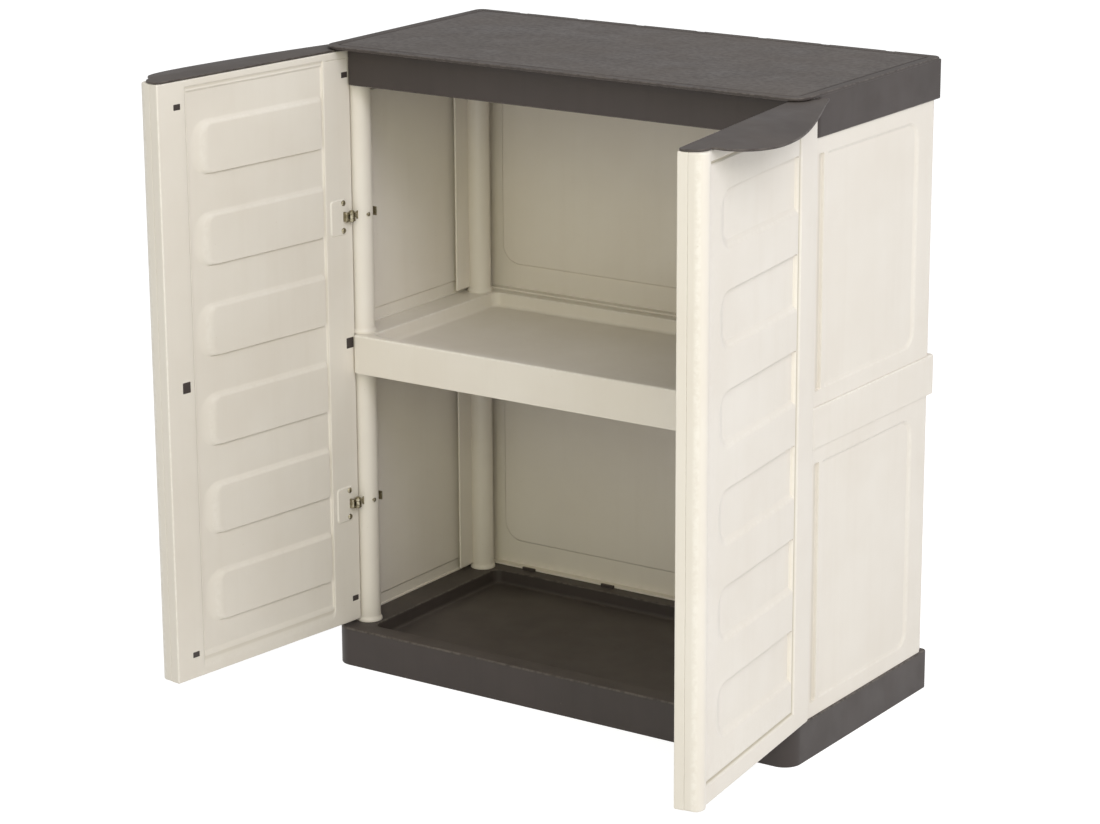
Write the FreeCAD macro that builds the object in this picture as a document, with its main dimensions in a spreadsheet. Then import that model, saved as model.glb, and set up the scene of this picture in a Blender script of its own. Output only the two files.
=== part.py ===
import FreeCAD, Part
import math
import os

from FreeCAD import Placement, Rotation, Vector
import Sketcher

# Garden storage cabinet, standing on z = 0 with its doors open.
# X runs to the right, the front faces -Y, and the origin is the middle of the base on the floor.
# Door pieces are drawn closed, about their own hinge axis, and then turned open by door_opening.

doc = FreeCAD.newDocument("garden_storage_cabinet")
sheet = doc.addObject("Spreadsheet::Sheet", "Sizes")

SIZES = [
    ("overall_width", 735),
    ("overall_depth", 366),
    ("base_height", 55),
    ("lower_storey", 362),
    ("shelf_height", 54),
    ("upper_storey", 344),
    ("lid_height", 55),
    ("front_corner", 24),
    ("rear_corner", 5),
    ("tray_wall", 3),
    ("tray_depth", 20),
    ("tray_corner", 14),
    ("base_border_side", 46),
    ("base_border_front", 27),
    ("base_border_rear", 40),
    ("shelf_border_side", 46),
    ("shelf_border_front", 14),
    ("shelf_border_rear", 36),
    ("front_set_back", 23),
    ("corner_cut_width", 25),
    ("corner_cut_depth", 33.2),
    ("post_clear_corner", 18),
    ("corner_block_width", 46),
    ("rib_thickness", 4),
    ("lid_plate", 4),
    ("tab_width", 22),
    ("tab_height", 4),
    ("tab_spacing", 137),
    ("post_radius", 16),
    ("post_wall", 3),
    ("post_collar", 2),
    ("post_collar_height", 7),
    ("post_foot", 1.5),
    ("post_side_inset", 24.5),
    ("front_post_inset", 48.7),
    ("rear_post_inset", 42),
    ("spigot_height", 22),
    ("fit_gap", 0.3),
    ("side_panel_inset", 2),
    ("side_panel_front", 37),
    ("side_panel_rear", 18),
    ("panel_thickness", 4),
    ("panel_wall", 2.5),
    ("panel_relief", 2.5),
    ("side_field_border", 36),
    ("side_field_bottom", 20),
    ("field_corner", 26),
    ("groove_start", 12),
    ("groove_width", 15),
    ("groove_gap", 7.5),
    ("back_panel_thickness", 13),
    ("back_panel_inset", 8),
    ("fin_thickness", 3),
    ("fin_offset", 8),
    ("fin_reach", 28),
    ("fin_root", 5),
    ("back_field_border", 40),
    ("hinge_axis_inset", 29.5),
    ("hinge_axis_set_back", 21.5),
    ("door_opening", 97),
    ("door_bottom_gap", 5),
    ("lid_gap", 1),
    ("door_meeting_gap", 1),
    ("door_hinge_overhang", 8),
    ("door_face_offset", 6.5),
    ("inner_skin_depth", 14),
    ("outer_skin_depth", 17.5),
    ("door_wall", 3),
    ("stile_width", 50),
    ("bead_width", 25),
    ("bead_rise", 4.5),
    ("bead_radius", 11),
    ("bead_inner_radius", 4),
    ("hinge_edge_radius", 6),
    ("top_rail", 13),
    ("bottom_rail", 24),
    ("outer_field_relief", 1.5),
    ("inner_field_relief", 3),
    ("inner_field_corner", 13),
    ("slat_count", 6),
    ("slat_height", 73),
    ("slat_first_bottom", 67.5),
    ("slat_pitch", 121.3),
    ("slat_inset", 6),
    ("slat_round_end", 28),
    ("slat_square_end", 4),
    ("slat_relief", 3),
    ("cap_plate", 3),
    ("cap_bulge", 86),
    ("cap_pinch", 33),
    ("cap_pinch_at", 24),
    ("cap_tip_along", 6),
    ("cap_tip_level", 26.4),
    ("cap_shoulder", 11),
    ("cap_nose_along", 2),
    ("cap_nose_level", 3),
    ("cap_nose_length", 9),
    ("cap_drop", 7),
    ("cap_end_length", 19),
    ("cap_end_start", 28.5),
    ("cap_end_round", 5),
    ("cap_end_width", 9),
    ("cap_skew", 0.58),
    ("window_width", 12),
    ("window_height", 8),
    ("middle_window_width", 14),
    ("middle_window_height", 15),
    ("window_end_inset", 33),
    ("window_free_inset", 33),
    ("window_hinge_inset", 10),
    ("window_middle_height", 460),
    ("insert_depth", 4.5),
    ("lower_hinge_height", 233),
    ("upper_hinge_height", 637),
    ("knuckle_radius", 5),
    ("pin_radius", 2.5),
    ("pin_play", 0.05),
    ("knuckle_half_height", 2.6),
    ("hinge_half_height", 6.5),
    ("strap_half_height", 6),
    ("sheet_metal", 2),
    ("strap_hook_reach", 8),
    ("rivet_radius", 2),
    ("rivet_proud", 1),
    ("rivet_set_back", 5),
    ("screw_spacing", 38),
    ("screw_inset", 19),
    ("screw_head_radius", 4),
    ("screw_head_height", 2.4),
    ("screw_radius", 2),
    ("pad_inset", 12),
    ("pad_width", 31),
    ("pad_height", 50),
    ("pad_rise", 1.5),
    ("leaf_width", 22),
    ("leaf_half_height", 23),
    ("arm_stand_off", 8),
    ("arm_thickness", 3),
]


class Size:
    """A length that knows its number and its spreadsheet formula."""

    def __init__(self, number, formula):
        self.number = float(number)
        self.formula = formula

    def __float__(self):
        return self.number

    def __add__(self, other):
        other = as_size(other)
        return Size(self.number + other.number, f"({self.formula} + {other.formula})")

    def __sub__(self, other):
        other = as_size(other)
        return Size(self.number - other.number, f"({self.formula} - {other.formula})")

    def __mul__(self, other):
        other = as_size(other)
        return Size(self.number * other.number, f"({self.formula} * {other.formula})")

    def __truediv__(self, other):
        other = as_size(other)
        return Size(self.number / other.number, f"({self.formula} / {other.formula})")

    def __radd__(self, other):
        return as_size(other) + self

    def __rsub__(self, other):
        return as_size(other) - self

    def __rmul__(self, other):
        return as_size(other) * self

    def __neg__(self):
        return Size(-self.number, f"(-1 * {self.formula})")


def as_size(value):
    """Return value as a Size."""
    if isinstance(value, Size):
        return value
    return Size(value, f"({float(value)})")


for row, (alias, number) in enumerate(SIZES, start=1):
    sheet.set(f"A{row}", alias)
    sheet.set(f"B{row}", str(number))
    sheet.setAlias(f"B{row}", alias)
doc.recompute()
S = {alias: Size(sheet.get(alias), f"Sizes.{alias}") for alias, number in SIZES}

half_width = S["overall_width"] / 2
front_y = -S["overall_depth"] / 2
rear_y = S["overall_depth"] / 2
shelf_bottom = S["base_height"] + S["lower_storey"]
shelf_top = shelf_bottom + S["shelf_height"]
skirt_bottom = shelf_top + S["upper_storey"]
lid_top = skirt_bottom + S["lid_height"]
plate_bottom = lid_top - S["lid_plate"]
body_front = front_y + S["front_set_back"]
corner_rear = front_y + S["corner_cut_depth"]
corner_side = half_width - S["corner_cut_width"]
post_x = half_width - S["post_side_inset"]
front_post_y = front_y + S["front_post_inset"]
rear_post_y = rear_y - S["rear_post_inset"]
post_bore = S["post_radius"] - S["post_wall"]

axis_x = half_width - S["hinge_axis_inset"]
axis_y = front_y + S["hinge_axis_set_back"]
door_bottom = S["base_height"] + S["door_bottom_gap"]
cap_top = plate_bottom - S["lid_gap"]
door_top = cap_top - S["cap_plate"]
free_edge = axis_x - S["door_meeting_gap"]
hinge_edge = -S["door_hinge_overhang"]
inner_face = S["door_face_offset"]
seam = inner_face + S["inner_skin_depth"]
outer_face = seam + S["outer_skin_depth"]
bead_face = outer_face + S["bead_rise"]

pieces = []


def bind(thing, prop, size):
    """Tie one property to its spreadsheet formula."""
    thing.setExpression(prop, as_size(size).formula)


def register(piece, label):
    """Name a finished sub-part and put it on the list to export."""
    piece.Label = label
    pieces.append(piece)
    return piece


def place(piece, x=0, y=0, z=0, turn=0, about=1):
    """Set a piece's place, and its turn about the vertical, from the sheet."""
    base = [as_size(value) for value in (x, y, z)]
    angle = as_size(turn)
    spot = Vector(*[value.number for value in base])
    piece.Placement = Placement(spot, Rotation(Vector(0, 0, about), angle.number))
    for letter, value in zip("xyz", base):
        bind(piece, f"Placement.Base.{letter}", value)
    if angle.number:
        bind(piece, "Placement.Rotation.Angle", angle)
    return piece


def new_body(name):
    """Start an empty body."""
    return doc.addObject("PartDesign::Body", name)


def new_sketch(body, name, role, offset):
    """Attach a sketch to one of the body's own planes, offset along that plane's normal."""
    sketch = body.newObject("Sketcher::SketchObject", name)
    plane = [item for item in body.Origin.OriginFeatures if item.Role == role][0]
    sketch.AttachmentSupport = [(plane, "")]
    sketch.MapMode = "FlatFace"
    offset = as_size(offset)
    sketch.AttachmentOffset = Placement(Vector(0, 0, offset.number), Rotation())
    bind(sketch, "AttachmentOffset.Base.z", offset)
    return sketch


def fix_point(sketch, edge, end, point):
    """Hold one end of an edge at a point given by two sizes."""
    for kind, value in zip(("DistanceX", "DistanceY"), point):
        value = as_size(value)
        row = sketch.addConstraint(Sketcher.Constraint(kind, -1, 1, edge, end, value.number))
        bind(sketch, f"Constraints[{row}]", value)


def draw_loop(sketch, corners):
    """Draw a closed straight-sided loop through the corners."""
    spots = [Vector(float(x), float(y), 0) for x, y in corners]
    count = len(spots)
    first = sketch.GeometryCount
    for index in range(count):
        sketch.addGeometry(Part.LineSegment(spots[index], spots[(index + 1) % count]), False)
    for index in range(count):
        following = first + (index + 1) % count
        sketch.addConstraint(Sketcher.Constraint("Coincident", first + index, 2, following, 1))
    for index, corner in enumerate(corners):
        fix_point(sketch, first + index, 1, corner)


def draw_box(sketch, x0, y0, x1, y1):
    """Draw a rectangle with square corners."""
    draw_loop(sketch, [(x0, y0), (x1, y0), (x1, y1), (x0, y1)])


def draw_rounded(sketch, x0, y0, x1, y1, radii):
    """Draw a rectangle whose corners, from the lower left round to the right, have these radii."""
    low_left, low_right, top_right, top_left = [as_size(radius) for radius in radii]
    left, low, right, top = [as_size(value) for value in (x0, y0, x1, y1)]
    first = sketch.GeometryCount
    lines = [
        ((left + low_left, low), (right - low_right, low)),
        ((right, low + low_right), (right, top - top_right)),
        ((right - top_right, top), (left + top_left, top)),
        ((left, top - top_left), (left, low + low_left)),
    ]
    arcs = [
        (right - low_right, low + low_right, low_right, -90),
        (right - top_right, top - top_right, top_right, 0),
        (left + top_left, top - top_left, top_left, 90),
        (left + low_left, low + low_left, low_left, 180),
    ]
    for (start, end), (x, y, radius, angle) in zip(lines, arcs):
        ends = [Vector(float(spot[0]), float(spot[1]), 0) for spot in (start, end)]
        sketch.addGeometry(Part.LineSegment(*ends), False)
        circle = Part.Circle(Vector(float(x), float(y), 0), Vector(0, 0, 1), float(radius))
        sweep = (math.radians(angle), math.radians(angle + 90))
        sketch.addGeometry(Part.ArcOfCircle(circle, *sweep), False)
    for index in range(8):
        following = first + (index + 1) % 8
        sketch.addConstraint(Sketcher.Constraint("Tangent", first + index, 2, following, 1))
    for index, kind in enumerate(("Horizontal", "Vertical", "Horizontal", "Vertical")):
        sketch.addConstraint(Sketcher.Constraint(kind, first + 2 * index))
    for index, (x, y, radius, angle) in enumerate(arcs):
        edge = first + 2 * index + 1
        row = sketch.addConstraint(Sketcher.Constraint("Radius", edge, radius.number))
        bind(sketch, f"Constraints[{row}]", radius)
    sides = ((0, "DistanceY", low), (2, "DistanceX", right), (4, "DistanceY", top), (6, "DistanceX", left))
    for edge, kind, value in sides:
        row = sketch.addConstraint(Sketcher.Constraint(kind, -1, 1, first + edge, 1, value.number))
        bind(sketch, f"Constraints[{row}]", value)


def draw_circle(sketch, x, y, radius):
    """Draw a circle held by its centre and radius."""
    x, y, radius = as_size(x), as_size(y), as_size(radius)
    circle = Part.Circle(Vector(x.number, y.number, 0), Vector(0, 0, 1), radius.number)
    edge = sketch.addGeometry(circle, False)
    row = sketch.addConstraint(Sketcher.Constraint("Radius", edge, radius.number))
    bind(sketch, f"Constraints[{row}]", radius)
    fix_point(sketch, edge, 3, (x, y))


def extrude(body, sketch, kind, length, reverse=False):
    """Pad or pocket a sketch and check that the volume changed the right way."""
    before = body.Shape.Volume if body.Tip else 0
    feature = body.newObject(f"PartDesign::{kind}", f"{sketch.Name}_{kind}")
    feature.Profile = sketch
    bind(feature, "Length", length)
    feature.Reversed = reverse
    doc.recompute()
    after = body.Shape.Volume
    if (after <= before) if kind == "Pad" else (after >= before):
        raise ValueError(f"{feature.Name} in {body.Name} did not change the solid")
    return feature


def round_uprights(body, spots, radius):
    """Fillet the vertical edges that stand at the given spots."""
    names = []
    for number, edge in enumerate(body.Shape.Edges, start=1):
        ends = [vertex.Point for vertex in edge.Vertexes]
        if len(ends) != 2 or abs(ends[0].z - ends[1].z) < 1:
            continue
        if math.hypot(ends[0].x - ends[1].x, ends[0].y - ends[1].y) > 0.01:
            continue
        if any(math.hypot(ends[0].x - float(x), ends[0].y - float(y)) < 0.05 for x, y in spots):
            names.append(f"Edge{number}")
    if len(names) < len(spots):
        raise ValueError(f"{body.Name}: found {len(names)} of {len(spots)} edges to round")
    rounded = body.Tip
    fillet = body.newObject("PartDesign::Fillet", f"{body.Name}_fillet")
    fillet.Base = (rounded, names)
    bind(fillet, "Radius", radius)
    doc.recompute()
    return fillet


def mirrored(points):
    """Return an outline's right half and its mirror image, as one loop."""
    return list(points) + [(-x, y) for x, y in reversed(points)]


def carcass_outline():
    """Return the plan of the shelf and the lid's skirt, cut back at the front for the doors."""
    return mirrored([
        (half_width, rear_y),
        (half_width, corner_rear),
        (corner_side, corner_rear),
        (corner_side, body_front),
    ])


def post_spots():
    """Return each post's name, place and whether it stands at the front."""
    spots = []
    for side_name, side in (("left", -1), ("right", 1)):
        spots.append((f"front_{side_name}", side * post_x, front_post_y, side, True))
        spots.append((f"rear_{side_name}", side * post_x, rear_post_y, side, False))
    return spots


def add_spigots(body, level, reverse=False):
    """Add the four plugs that the tubular posts slide over."""
    sketch = new_sketch(body, f"{body.Name}_spigots", "XY_Plane", level)
    for name, x, y, side, is_front in post_spots():
        draw_circle(sketch, x, y, post_bore - S["fit_gap"])
    extrude(body, sketch, "Pad", S["spigot_height"], reverse)


def hollow_out(body, level, depth, side_depth, ribbed=True):
    """Hollow a tray from below, leaving solid corner blocks, and ribs on both centre lines."""
    sketch = new_sketch(body, f"{body.Name}_cells", "XY_Plane", level)
    wall = S["tray_wall"]
    rib = S["rib_thickness"] / 2
    inner_x = half_width - S["corner_block_width"]
    cell_rear = rear_y - wall
    cell_front = body_front + wall
    block_front = front_post_y + S["post_radius"] + wall
    block_rear = rear_post_y - S["post_radius"] - wall
    if not ribbed:
        draw_box(sketch, -inner_x, cell_front, inner_x, cell_rear)
    for side in (-1, 1):
        for y0, y1 in ((cell_front, -rib), (rib, cell_rear)) if ribbed else ():
            draw_box(sketch, side * rib, y0, side * inner_x, y1)
    extrude(body, sketch, "Pocket", depth, True)
    sides = new_sketch(body, f"{body.Name}_side_cells", "XY_Plane", level)
    for side in (-1, 1):
        outer_x = half_width - wall
        draw_box(sides, side * (inner_x + wall), block_front, side * outer_x, block_rear)
    extrude(body, sides, "Pocket", side_depth, True)


# Base tray: raised border, recessed floor, ribs below, plugs for the lower posts, and the
# small tabs that hold the back panel's lower edge.
base = new_body("base_tray")
outline = new_sketch(base, "base_outline", "XY_Plane", 0)
corners = [S["front_corner"], S["front_corner"], S["rear_corner"], S["rear_corner"]]
draw_rounded(outline, -half_width, front_y, half_width, rear_y, corners)
extrude(base, outline, "Pad", S["base_height"])
recess = new_sketch(base, "base_recess", "XY_Plane", S["base_height"])
recess_x = half_width - S["base_border_side"]
recess_corners = [S["tray_corner"]] * 4
draw_rounded(recess, -recess_x, front_y + S["base_border_front"], recess_x,
             rear_y - S["base_border_rear"], recess_corners)
extrude(base, recess, "Pocket", S["tray_depth"])
hollow_out(base, 0, S["base_height"] - S["tray_depth"] - S["tray_wall"], S["base_height"] - S["tray_wall"])
add_spigots(base, S["base_height"])
tabs = new_sketch(base, "base_tabs", "XY_Plane", S["base_height"])
tab_rear = rear_y - S["back_panel_inset"] - S["back_panel_thickness"] - S["fit_gap"]
for step in (-2, -1, 0, 1, 2):
    middle = S["tab_spacing"] * step
    half_tab = S["tab_width"] / 2
    draw_box(tabs, middle - half_tab, tab_rear - S["tab_height"], middle + half_tab, tab_rear)
extrude(base, tabs, "Pad", S["tab_height"])
register(base, "base_tray")

# Middle shelf: the same tray in the carcass outline, with plugs above and below.
shelf = new_body("middle_shelf")
outline = new_sketch(shelf, "shelf_outline", "XY_Plane", shelf_bottom)
draw_loop(outline, carcass_outline())
extrude(shelf, outline, "Pad", S["shelf_height"])
round_uprights(shelf, [(side * half_width, corner_rear) for side in (-1, 1)], S["post_clear_corner"])
round_uprights(shelf, [(side * corner_side, body_front) for side in (-1, 1)], S["rear_corner"])
round_uprights(shelf, [(side * half_width, rear_y) for side in (-1, 1)], S["rear_corner"])
recess = new_sketch(shelf, "shelf_recess", "XY_Plane", shelf_top)
recess_x = half_width - S["shelf_border_side"]
draw_rounded(recess, -recess_x, body_front + S["shelf_border_front"], recess_x,
             rear_y - S["shelf_border_rear"], recess_corners)
extrude(shelf, recess, "Pocket", S["tray_depth"])
hollow_out(shelf, shelf_bottom, S["shelf_height"] - S["tray_depth"] - S["tray_wall"],
           S["shelf_height"] - S["tray_wall"])
add_spigots(shelf, shelf_top)
add_spigots(shelf, shelf_bottom, True)
register(shelf, "middle_shelf")

# Lid: a plate with a thin lip, a deep skirt set back under it, and plugs for the upper posts.
lid = new_body("top_lid")
plate = new_sketch(lid, "lid_plate_outline", "XY_Plane", plate_bottom)
draw_rounded(plate, -half_width, front_y, half_width, rear_y, corners)
extrude(lid, plate, "Pad", S["lid_plate"])
skirt = new_sketch(lid, "lid_skirt_outline", "XY_Plane", skirt_bottom)
draw_loop(skirt, carcass_outline())
extrude(lid, skirt, "Pad", S["lid_height"] - S["lid_plate"])
round_uprights(lid, [(side * half_width, corner_rear) for side in (-1, 1)], S["post_clear_corner"])
hollow_out(lid, skirt_bottom, S["lid_height"] - S["lid_plate"], S["lid_height"] - S["lid_plate"], False)
add_spigots(lid, skirt_bottom, True)
register(lid, "top_lid")


def add_post(name, x, y, bottom, height, side, is_front, hinge_height):
    """Build one tubular post with a flared foot, a rear fin or the slots that its hinge needs."""
    body = new_body(name)
    profile = new_sketch(body, f"{name}_profile", "XZ_Plane", 0)
    radius = S["post_radius"]
    draw_loop(profile, [
        (post_bore, 0),
        (radius + S["post_collar"], 0),
        (radius + S["post_collar"], S["post_foot"]),
        (radius, S["post_collar_height"]),
        (radius, height),
        (post_bore, height),
    ])
    turned = body.newObject("PartDesign::Revolution", f"{name}_turned")
    turned.Profile = profile
    turned.ReferenceAxis = (profile, ["V_Axis"])
    turned.Angle = 360
    doc.recompute()
    if is_front:
        play = S["fit_gap"]
        level = hinge_height - bottom
        strap_x = side * (axis_x - post_x)
        slot = new_sketch(body, f"{name}_slot", "XZ_Plane", -radius - S["post_collar"])
        half_slot = S["sheet_metal"] / 2 + play
        draw_box(slot, strap_x - half_slot, level - S["strap_half_height"] - play,
                 strap_x + half_slot, level + S["strap_half_height"] + play)
        extrude(body, slot, "Pocket", (radius + S["post_collar"]) * 2, True)
        rivet = new_sketch(body, f"{name}_rivet_hole", "YZ_Plane", 0)
        draw_circle(rivet, -S["rivet_set_back"], level, S["rivet_radius"] + play)
        extrude(body, rivet, "Pocket", radius + S["post_collar"], side < 0)
    else:
        fin = new_sketch(body, f"{name}_fin", "XY_Plane", S["post_collar_height"])
        inner = side * S["fin_offset"]
        outer = side * (S["fin_offset"] + S["fin_thickness"])
        draw_box(fin, inner, -radius - S["fin_reach"], outer, S["fin_root"] - radius)
        extrude(body, fin, "Pad", height - S["post_collar_height"])
    place(body, x, y, bottom)
    return register(body, name)


for storey, bottom, height, hinge_height in (
    ("lower", S["base_height"], S["lower_storey"], S["lower_hinge_height"]),
    ("upper", shelf_top, S["upper_storey"], S["upper_hinge_height"]),
):
    for spot_name, x, y, side, is_front in post_spots():
        add_post(f"post_{storey}_{spot_name}", x, y, bottom, height, side, is_front, hinge_height)


def pressed_panel(name, box, face, depth, wall, relief, fields, facing=1):
    """Build a tray-shaped skin, open at its back, with sunken fields in its face.

    The skin stands in the body's XZ plane. Distances along facing run out of the face. Each
    field is a rounded rectangle whose floor keeps the skin's own wall behind it.
    """
    body = new_body(name)
    x0, z0, x1, z1 = box
    back = face - facing * depth
    block = new_sketch(body, f"{name}_block", "XZ_Plane", back)
    draw_box(block, x0, z0, x1, z1)
    extrude(body, block, "Pad", depth, facing < 0)
    cavity = new_sketch(body, f"{name}_cavity", "XZ_Plane", back)
    draw_box(cavity, x0 + wall, z0 + wall, x1 - wall, z1 - wall)
    extrude(body, cavity, "Pocket", depth - wall, facing > 0)
    backing = new_sketch(body, f"{name}_backing", "XZ_Plane", face - facing * (relief + wall))
    for left, low, right, top, radii in fields:
        grown = [as_size(radius) + wall for radius in radii]
        draw_rounded(backing, left - wall, low - wall, right + wall, top + wall, grown)
    extrude(body, backing, "Pad", relief, facing < 0)
    sunk = new_sketch(body, f"{name}_fields", "XZ_Plane", face)
    for field in fields:
        draw_rounded(sunk, *field)
    extrude(body, sunk, "Pocket", relief, facing < 0)
    return body


# Side and back panels, one storey high each, standing between base, shelf and lid.
panel_face = half_width - S["side_panel_inset"]
side_front = front_y + S["side_panel_front"]
side_rear = rear_y - S["side_panel_rear"]
back_face = rear_y - S["back_panel_inset"]
back_half = panel_face - S["panel_thickness"] - S["fit_gap"]
STOREYS = (("lower", S["base_height"], shelf_bottom), ("upper", shelf_top, skirt_bottom))
for storey, low, top in STOREYS:
    field_radii = [S["panel_wall"], S["field_corner"], S["field_corner"], S["panel_wall"]]
    field_low = low + S["side_field_bottom"]
    field_top = top - S["side_field_bottom"]
    groove_left = side_front + S["groove_start"]
    groove_right = groove_left + S["groove_width"]
    field_left = groove_right + S["groove_gap"]
    field_right = side_rear - S["side_field_border"]
    field = (field_left, field_low, field_right, field_top, field_radii)
    groove = (groove_left, field_low, groove_right, field_top, [S["panel_wall"]] * 4)
    for side_name, side in (("left", -1), ("right", 1)):
        shapes = [field, groove]
        box = (side_front, low, side_rear, top)
        if side < 0:
            shapes = [(-x1, z0, -x0, z1, [r[1], r[0], r[3], r[2]]) for x0, z0, x1, z1, r in shapes]
            box = (-side_rear, low, -side_front, top)
        panel = pressed_panel(f"side_panel_{storey}_{side_name}", box, panel_face,
                              S["panel_thickness"], S["panel_wall"], S["panel_relief"], shapes)
        place(panel, turn=90, about=side)
        register(panel, f"side_panel_{storey}_{side_name}")
    border = S["back_field_border"]
    shapes = [(-back_half + border, low + border, back_half - border, top - border,
               [S["field_corner"]] * 4)]
    box = (-back_half, low, back_half, top)
    panel = pressed_panel(f"back_panel_{storey}", box, back_face, S["back_panel_thickness"],
                          S["panel_wall"], S["panel_relief"], shapes)
    place(panel, turn=180)
    register(panel, f"back_panel_{storey}")


def across(side, low, high):
    """Return two distances from the hinge axis towards the free edge as left and right."""
    if side > 0:
        return -high, -low
    return low, high


def turned_radii(side, free, hinge):
    """Return corner radii for a shape with one radius at its free end and one at its hinge end."""
    if side > 0:
        return [free, hinge, hinge, free]
    return [hinge, free, free, hinge]


def slat_shapes(side, low_edge, high_edge):
    """Return the six slats as rounded rectangles in the door's plane."""
    left, right = across(side, low_edge, high_edge)
    radii = turned_radii(side, S["slat_round_end"], S["slat_square_end"])
    shapes = []
    for step in range(int(S["slat_count"].number)):
        low = door_bottom + S["slat_first_bottom"] + S["slat_pitch"] * step
        shapes.append((left, low, right, low + S["slat_height"], radii))
    return shapes


def window_spots():
    """Return each snap window's distance from the axis, height and half sizes."""
    near = hinge_edge + S["window_hinge_inset"]
    far = free_edge - S["window_free_inset"]
    small = (S["window_width"] / 2, S["window_height"] / 2)
    large = (S["middle_window_width"] / 2, S["middle_window_height"] / 2)
    spots = []
    for distance in (near, far):
        spots.append((distance, door_bottom + S["window_end_inset"], *small))
        spots.append((distance, door_top - S["window_end_inset"], *small))
        spots.append((distance, S["window_middle_height"], *large))
    return spots


HINGES = (("lower", S["lower_hinge_height"]), ("upper", S["upper_hinge_height"]))
screw_at = hinge_edge + S["screw_inset"]
pad_low = hinge_edge + S["pad_inset"]
pad_high = pad_low + S["pad_width"]
arm_near = S["arm_stand_off"]
arm_far = arm_near + S["arm_thickness"]
leaf_face = inner_face + S["door_wall"] + S["fit_gap"]


def door_rectangle(side, low, high):
    """Return the door's box between two distances from the axis."""
    left, right = across(side, low, high)
    return left, door_bottom, right, door_top


def hang(piece, side):
    """Hang a door piece on its hinge axis and turn it open."""
    return place(piece, side * axis_x, axis_y, 0, S["door_opening"], side)


def add_inner_skin(side, name):
    """Build the door's inner skin: sunken field, raised slats, hinge pads, slots and windows."""
    left, right = across(side, hinge_edge + S["stile_width"], free_edge - S["stile_width"])
    field = (left, door_bottom + S["bottom_rail"], right, door_top - S["top_rail"],
             [S["inner_field_corner"]] * 4)
    body = pressed_panel(name, door_rectangle(side, hinge_edge, free_edge), inner_face,
                         S["inner_skin_depth"], S["door_wall"], S["inner_field_relief"],
                         [field], facing=-1)
    slats = new_sketch(body, f"{name}_slats", "XZ_Plane", inner_face + S["inner_field_relief"])
    slat_end = free_edge - S["stile_width"] - S["slat_inset"]
    for shape in slat_shapes(side, hinge_edge + S["stile_width"] + S["panel_wall"], slat_end):
        draw_rounded(slats, *shape)
    extrude(body, slats, "Pad", S["slat_relief"], True)
    pads = new_sketch(body, f"{name}_pads", "XZ_Plane", inner_face)
    for hinge_name, height in HINGES:
        left, right = across(side, pad_low, pad_high)
        half_pad = S["pad_height"] / 2
        draw_rounded(pads, left, height - half_pad, right, height + half_pad, [S["panel_wall"]] * 4)
    extrude(body, pads, "Pad", S["pad_rise"], True)
    holes = new_sketch(body, f"{name}_holes", "XZ_Plane", inner_face - S["pad_rise"])
    play = S["fit_gap"]
    for hinge_name, height in HINGES:
        for step in (-1, 1):
            spot = height + step * S["screw_spacing"] / 2
            draw_circle(holes, -side * screw_at, spot, S["screw_radius"] + play)
        left, right = across(side, arm_near - play, arm_far + play)
        half_slot = S["hinge_half_height"] + play
        draw_box(holes, left, height - half_slot, right, height + half_slot)
    for distance, height, half_wide, half_high in window_spots():
        left, right = across(side, distance - half_wide, distance + half_wide)
        draw_box(holes, left, height - half_high, right, height + half_high)
    extrude(body, holes, "Pocket", S["inner_skin_depth"], True)
    hang(body, side)
    return register(body, name)


def add_outer_skin(side, name):
    """Build the door's outer skin: proud grip bead, hinge stile, sunken field and sunken slats."""
    left, right = across(side, hinge_edge + S["stile_width"], free_edge - S["bead_width"])
    field = (left, door_bottom + S["bottom_rail"], right, door_top - S["top_rail"],
             [S["panel_wall"]] * 4)
    body = pressed_panel(name, door_rectangle(side, hinge_edge, free_edge), outer_face,
                         S["outer_skin_depth"], S["door_wall"], S["outer_field_relief"], [field])
    wall = S["door_wall"]
    slat_start = hinge_edge + S["stile_width"] + wall
    slat_end = free_edge - S["stile_width"] - S["slat_inset"]
    floor = outer_face - S["outer_field_relief"]
    backing = new_sketch(body, f"{name}_slat_backs", "XZ_Plane", floor - wall - S["slat_relief"])
    for left, low, right, top, radii in slat_shapes(side, slat_start, slat_end):
        grown = [radius + wall for radius in radii]
        draw_rounded(backing, left - wall, low - wall, right + wall, top + wall, grown)
    extrude(body, backing, "Pad", S["slat_relief"])
    sunk = new_sketch(body, f"{name}_slats", "XZ_Plane", floor)
    for shape in slat_shapes(side, slat_start, slat_end):
        draw_rounded(sunk, *shape)
    extrude(body, sunk, "Pocket", S["slat_relief"])
    bead_start = free_edge - S["bead_width"]
    bead = new_sketch(body, f"{name}_bead", "XZ_Plane", outer_face - wall)
    draw_box(bead, *door_rectangle(side, bead_start, free_edge))
    extrude(body, bead, "Pad", wall + S["bead_rise"])
    round_uprights(body, [(-side * free_edge, -bead_face)], S["bead_radius"])
    round_uprights(body, [(-side * bead_start, -bead_face)], S["bead_inner_radius"])
    round_uprights(body, [(-side * hinge_edge, -outer_face)], S["hinge_edge_radius"])
    hang(body, side)
    return register(body, name)


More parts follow.
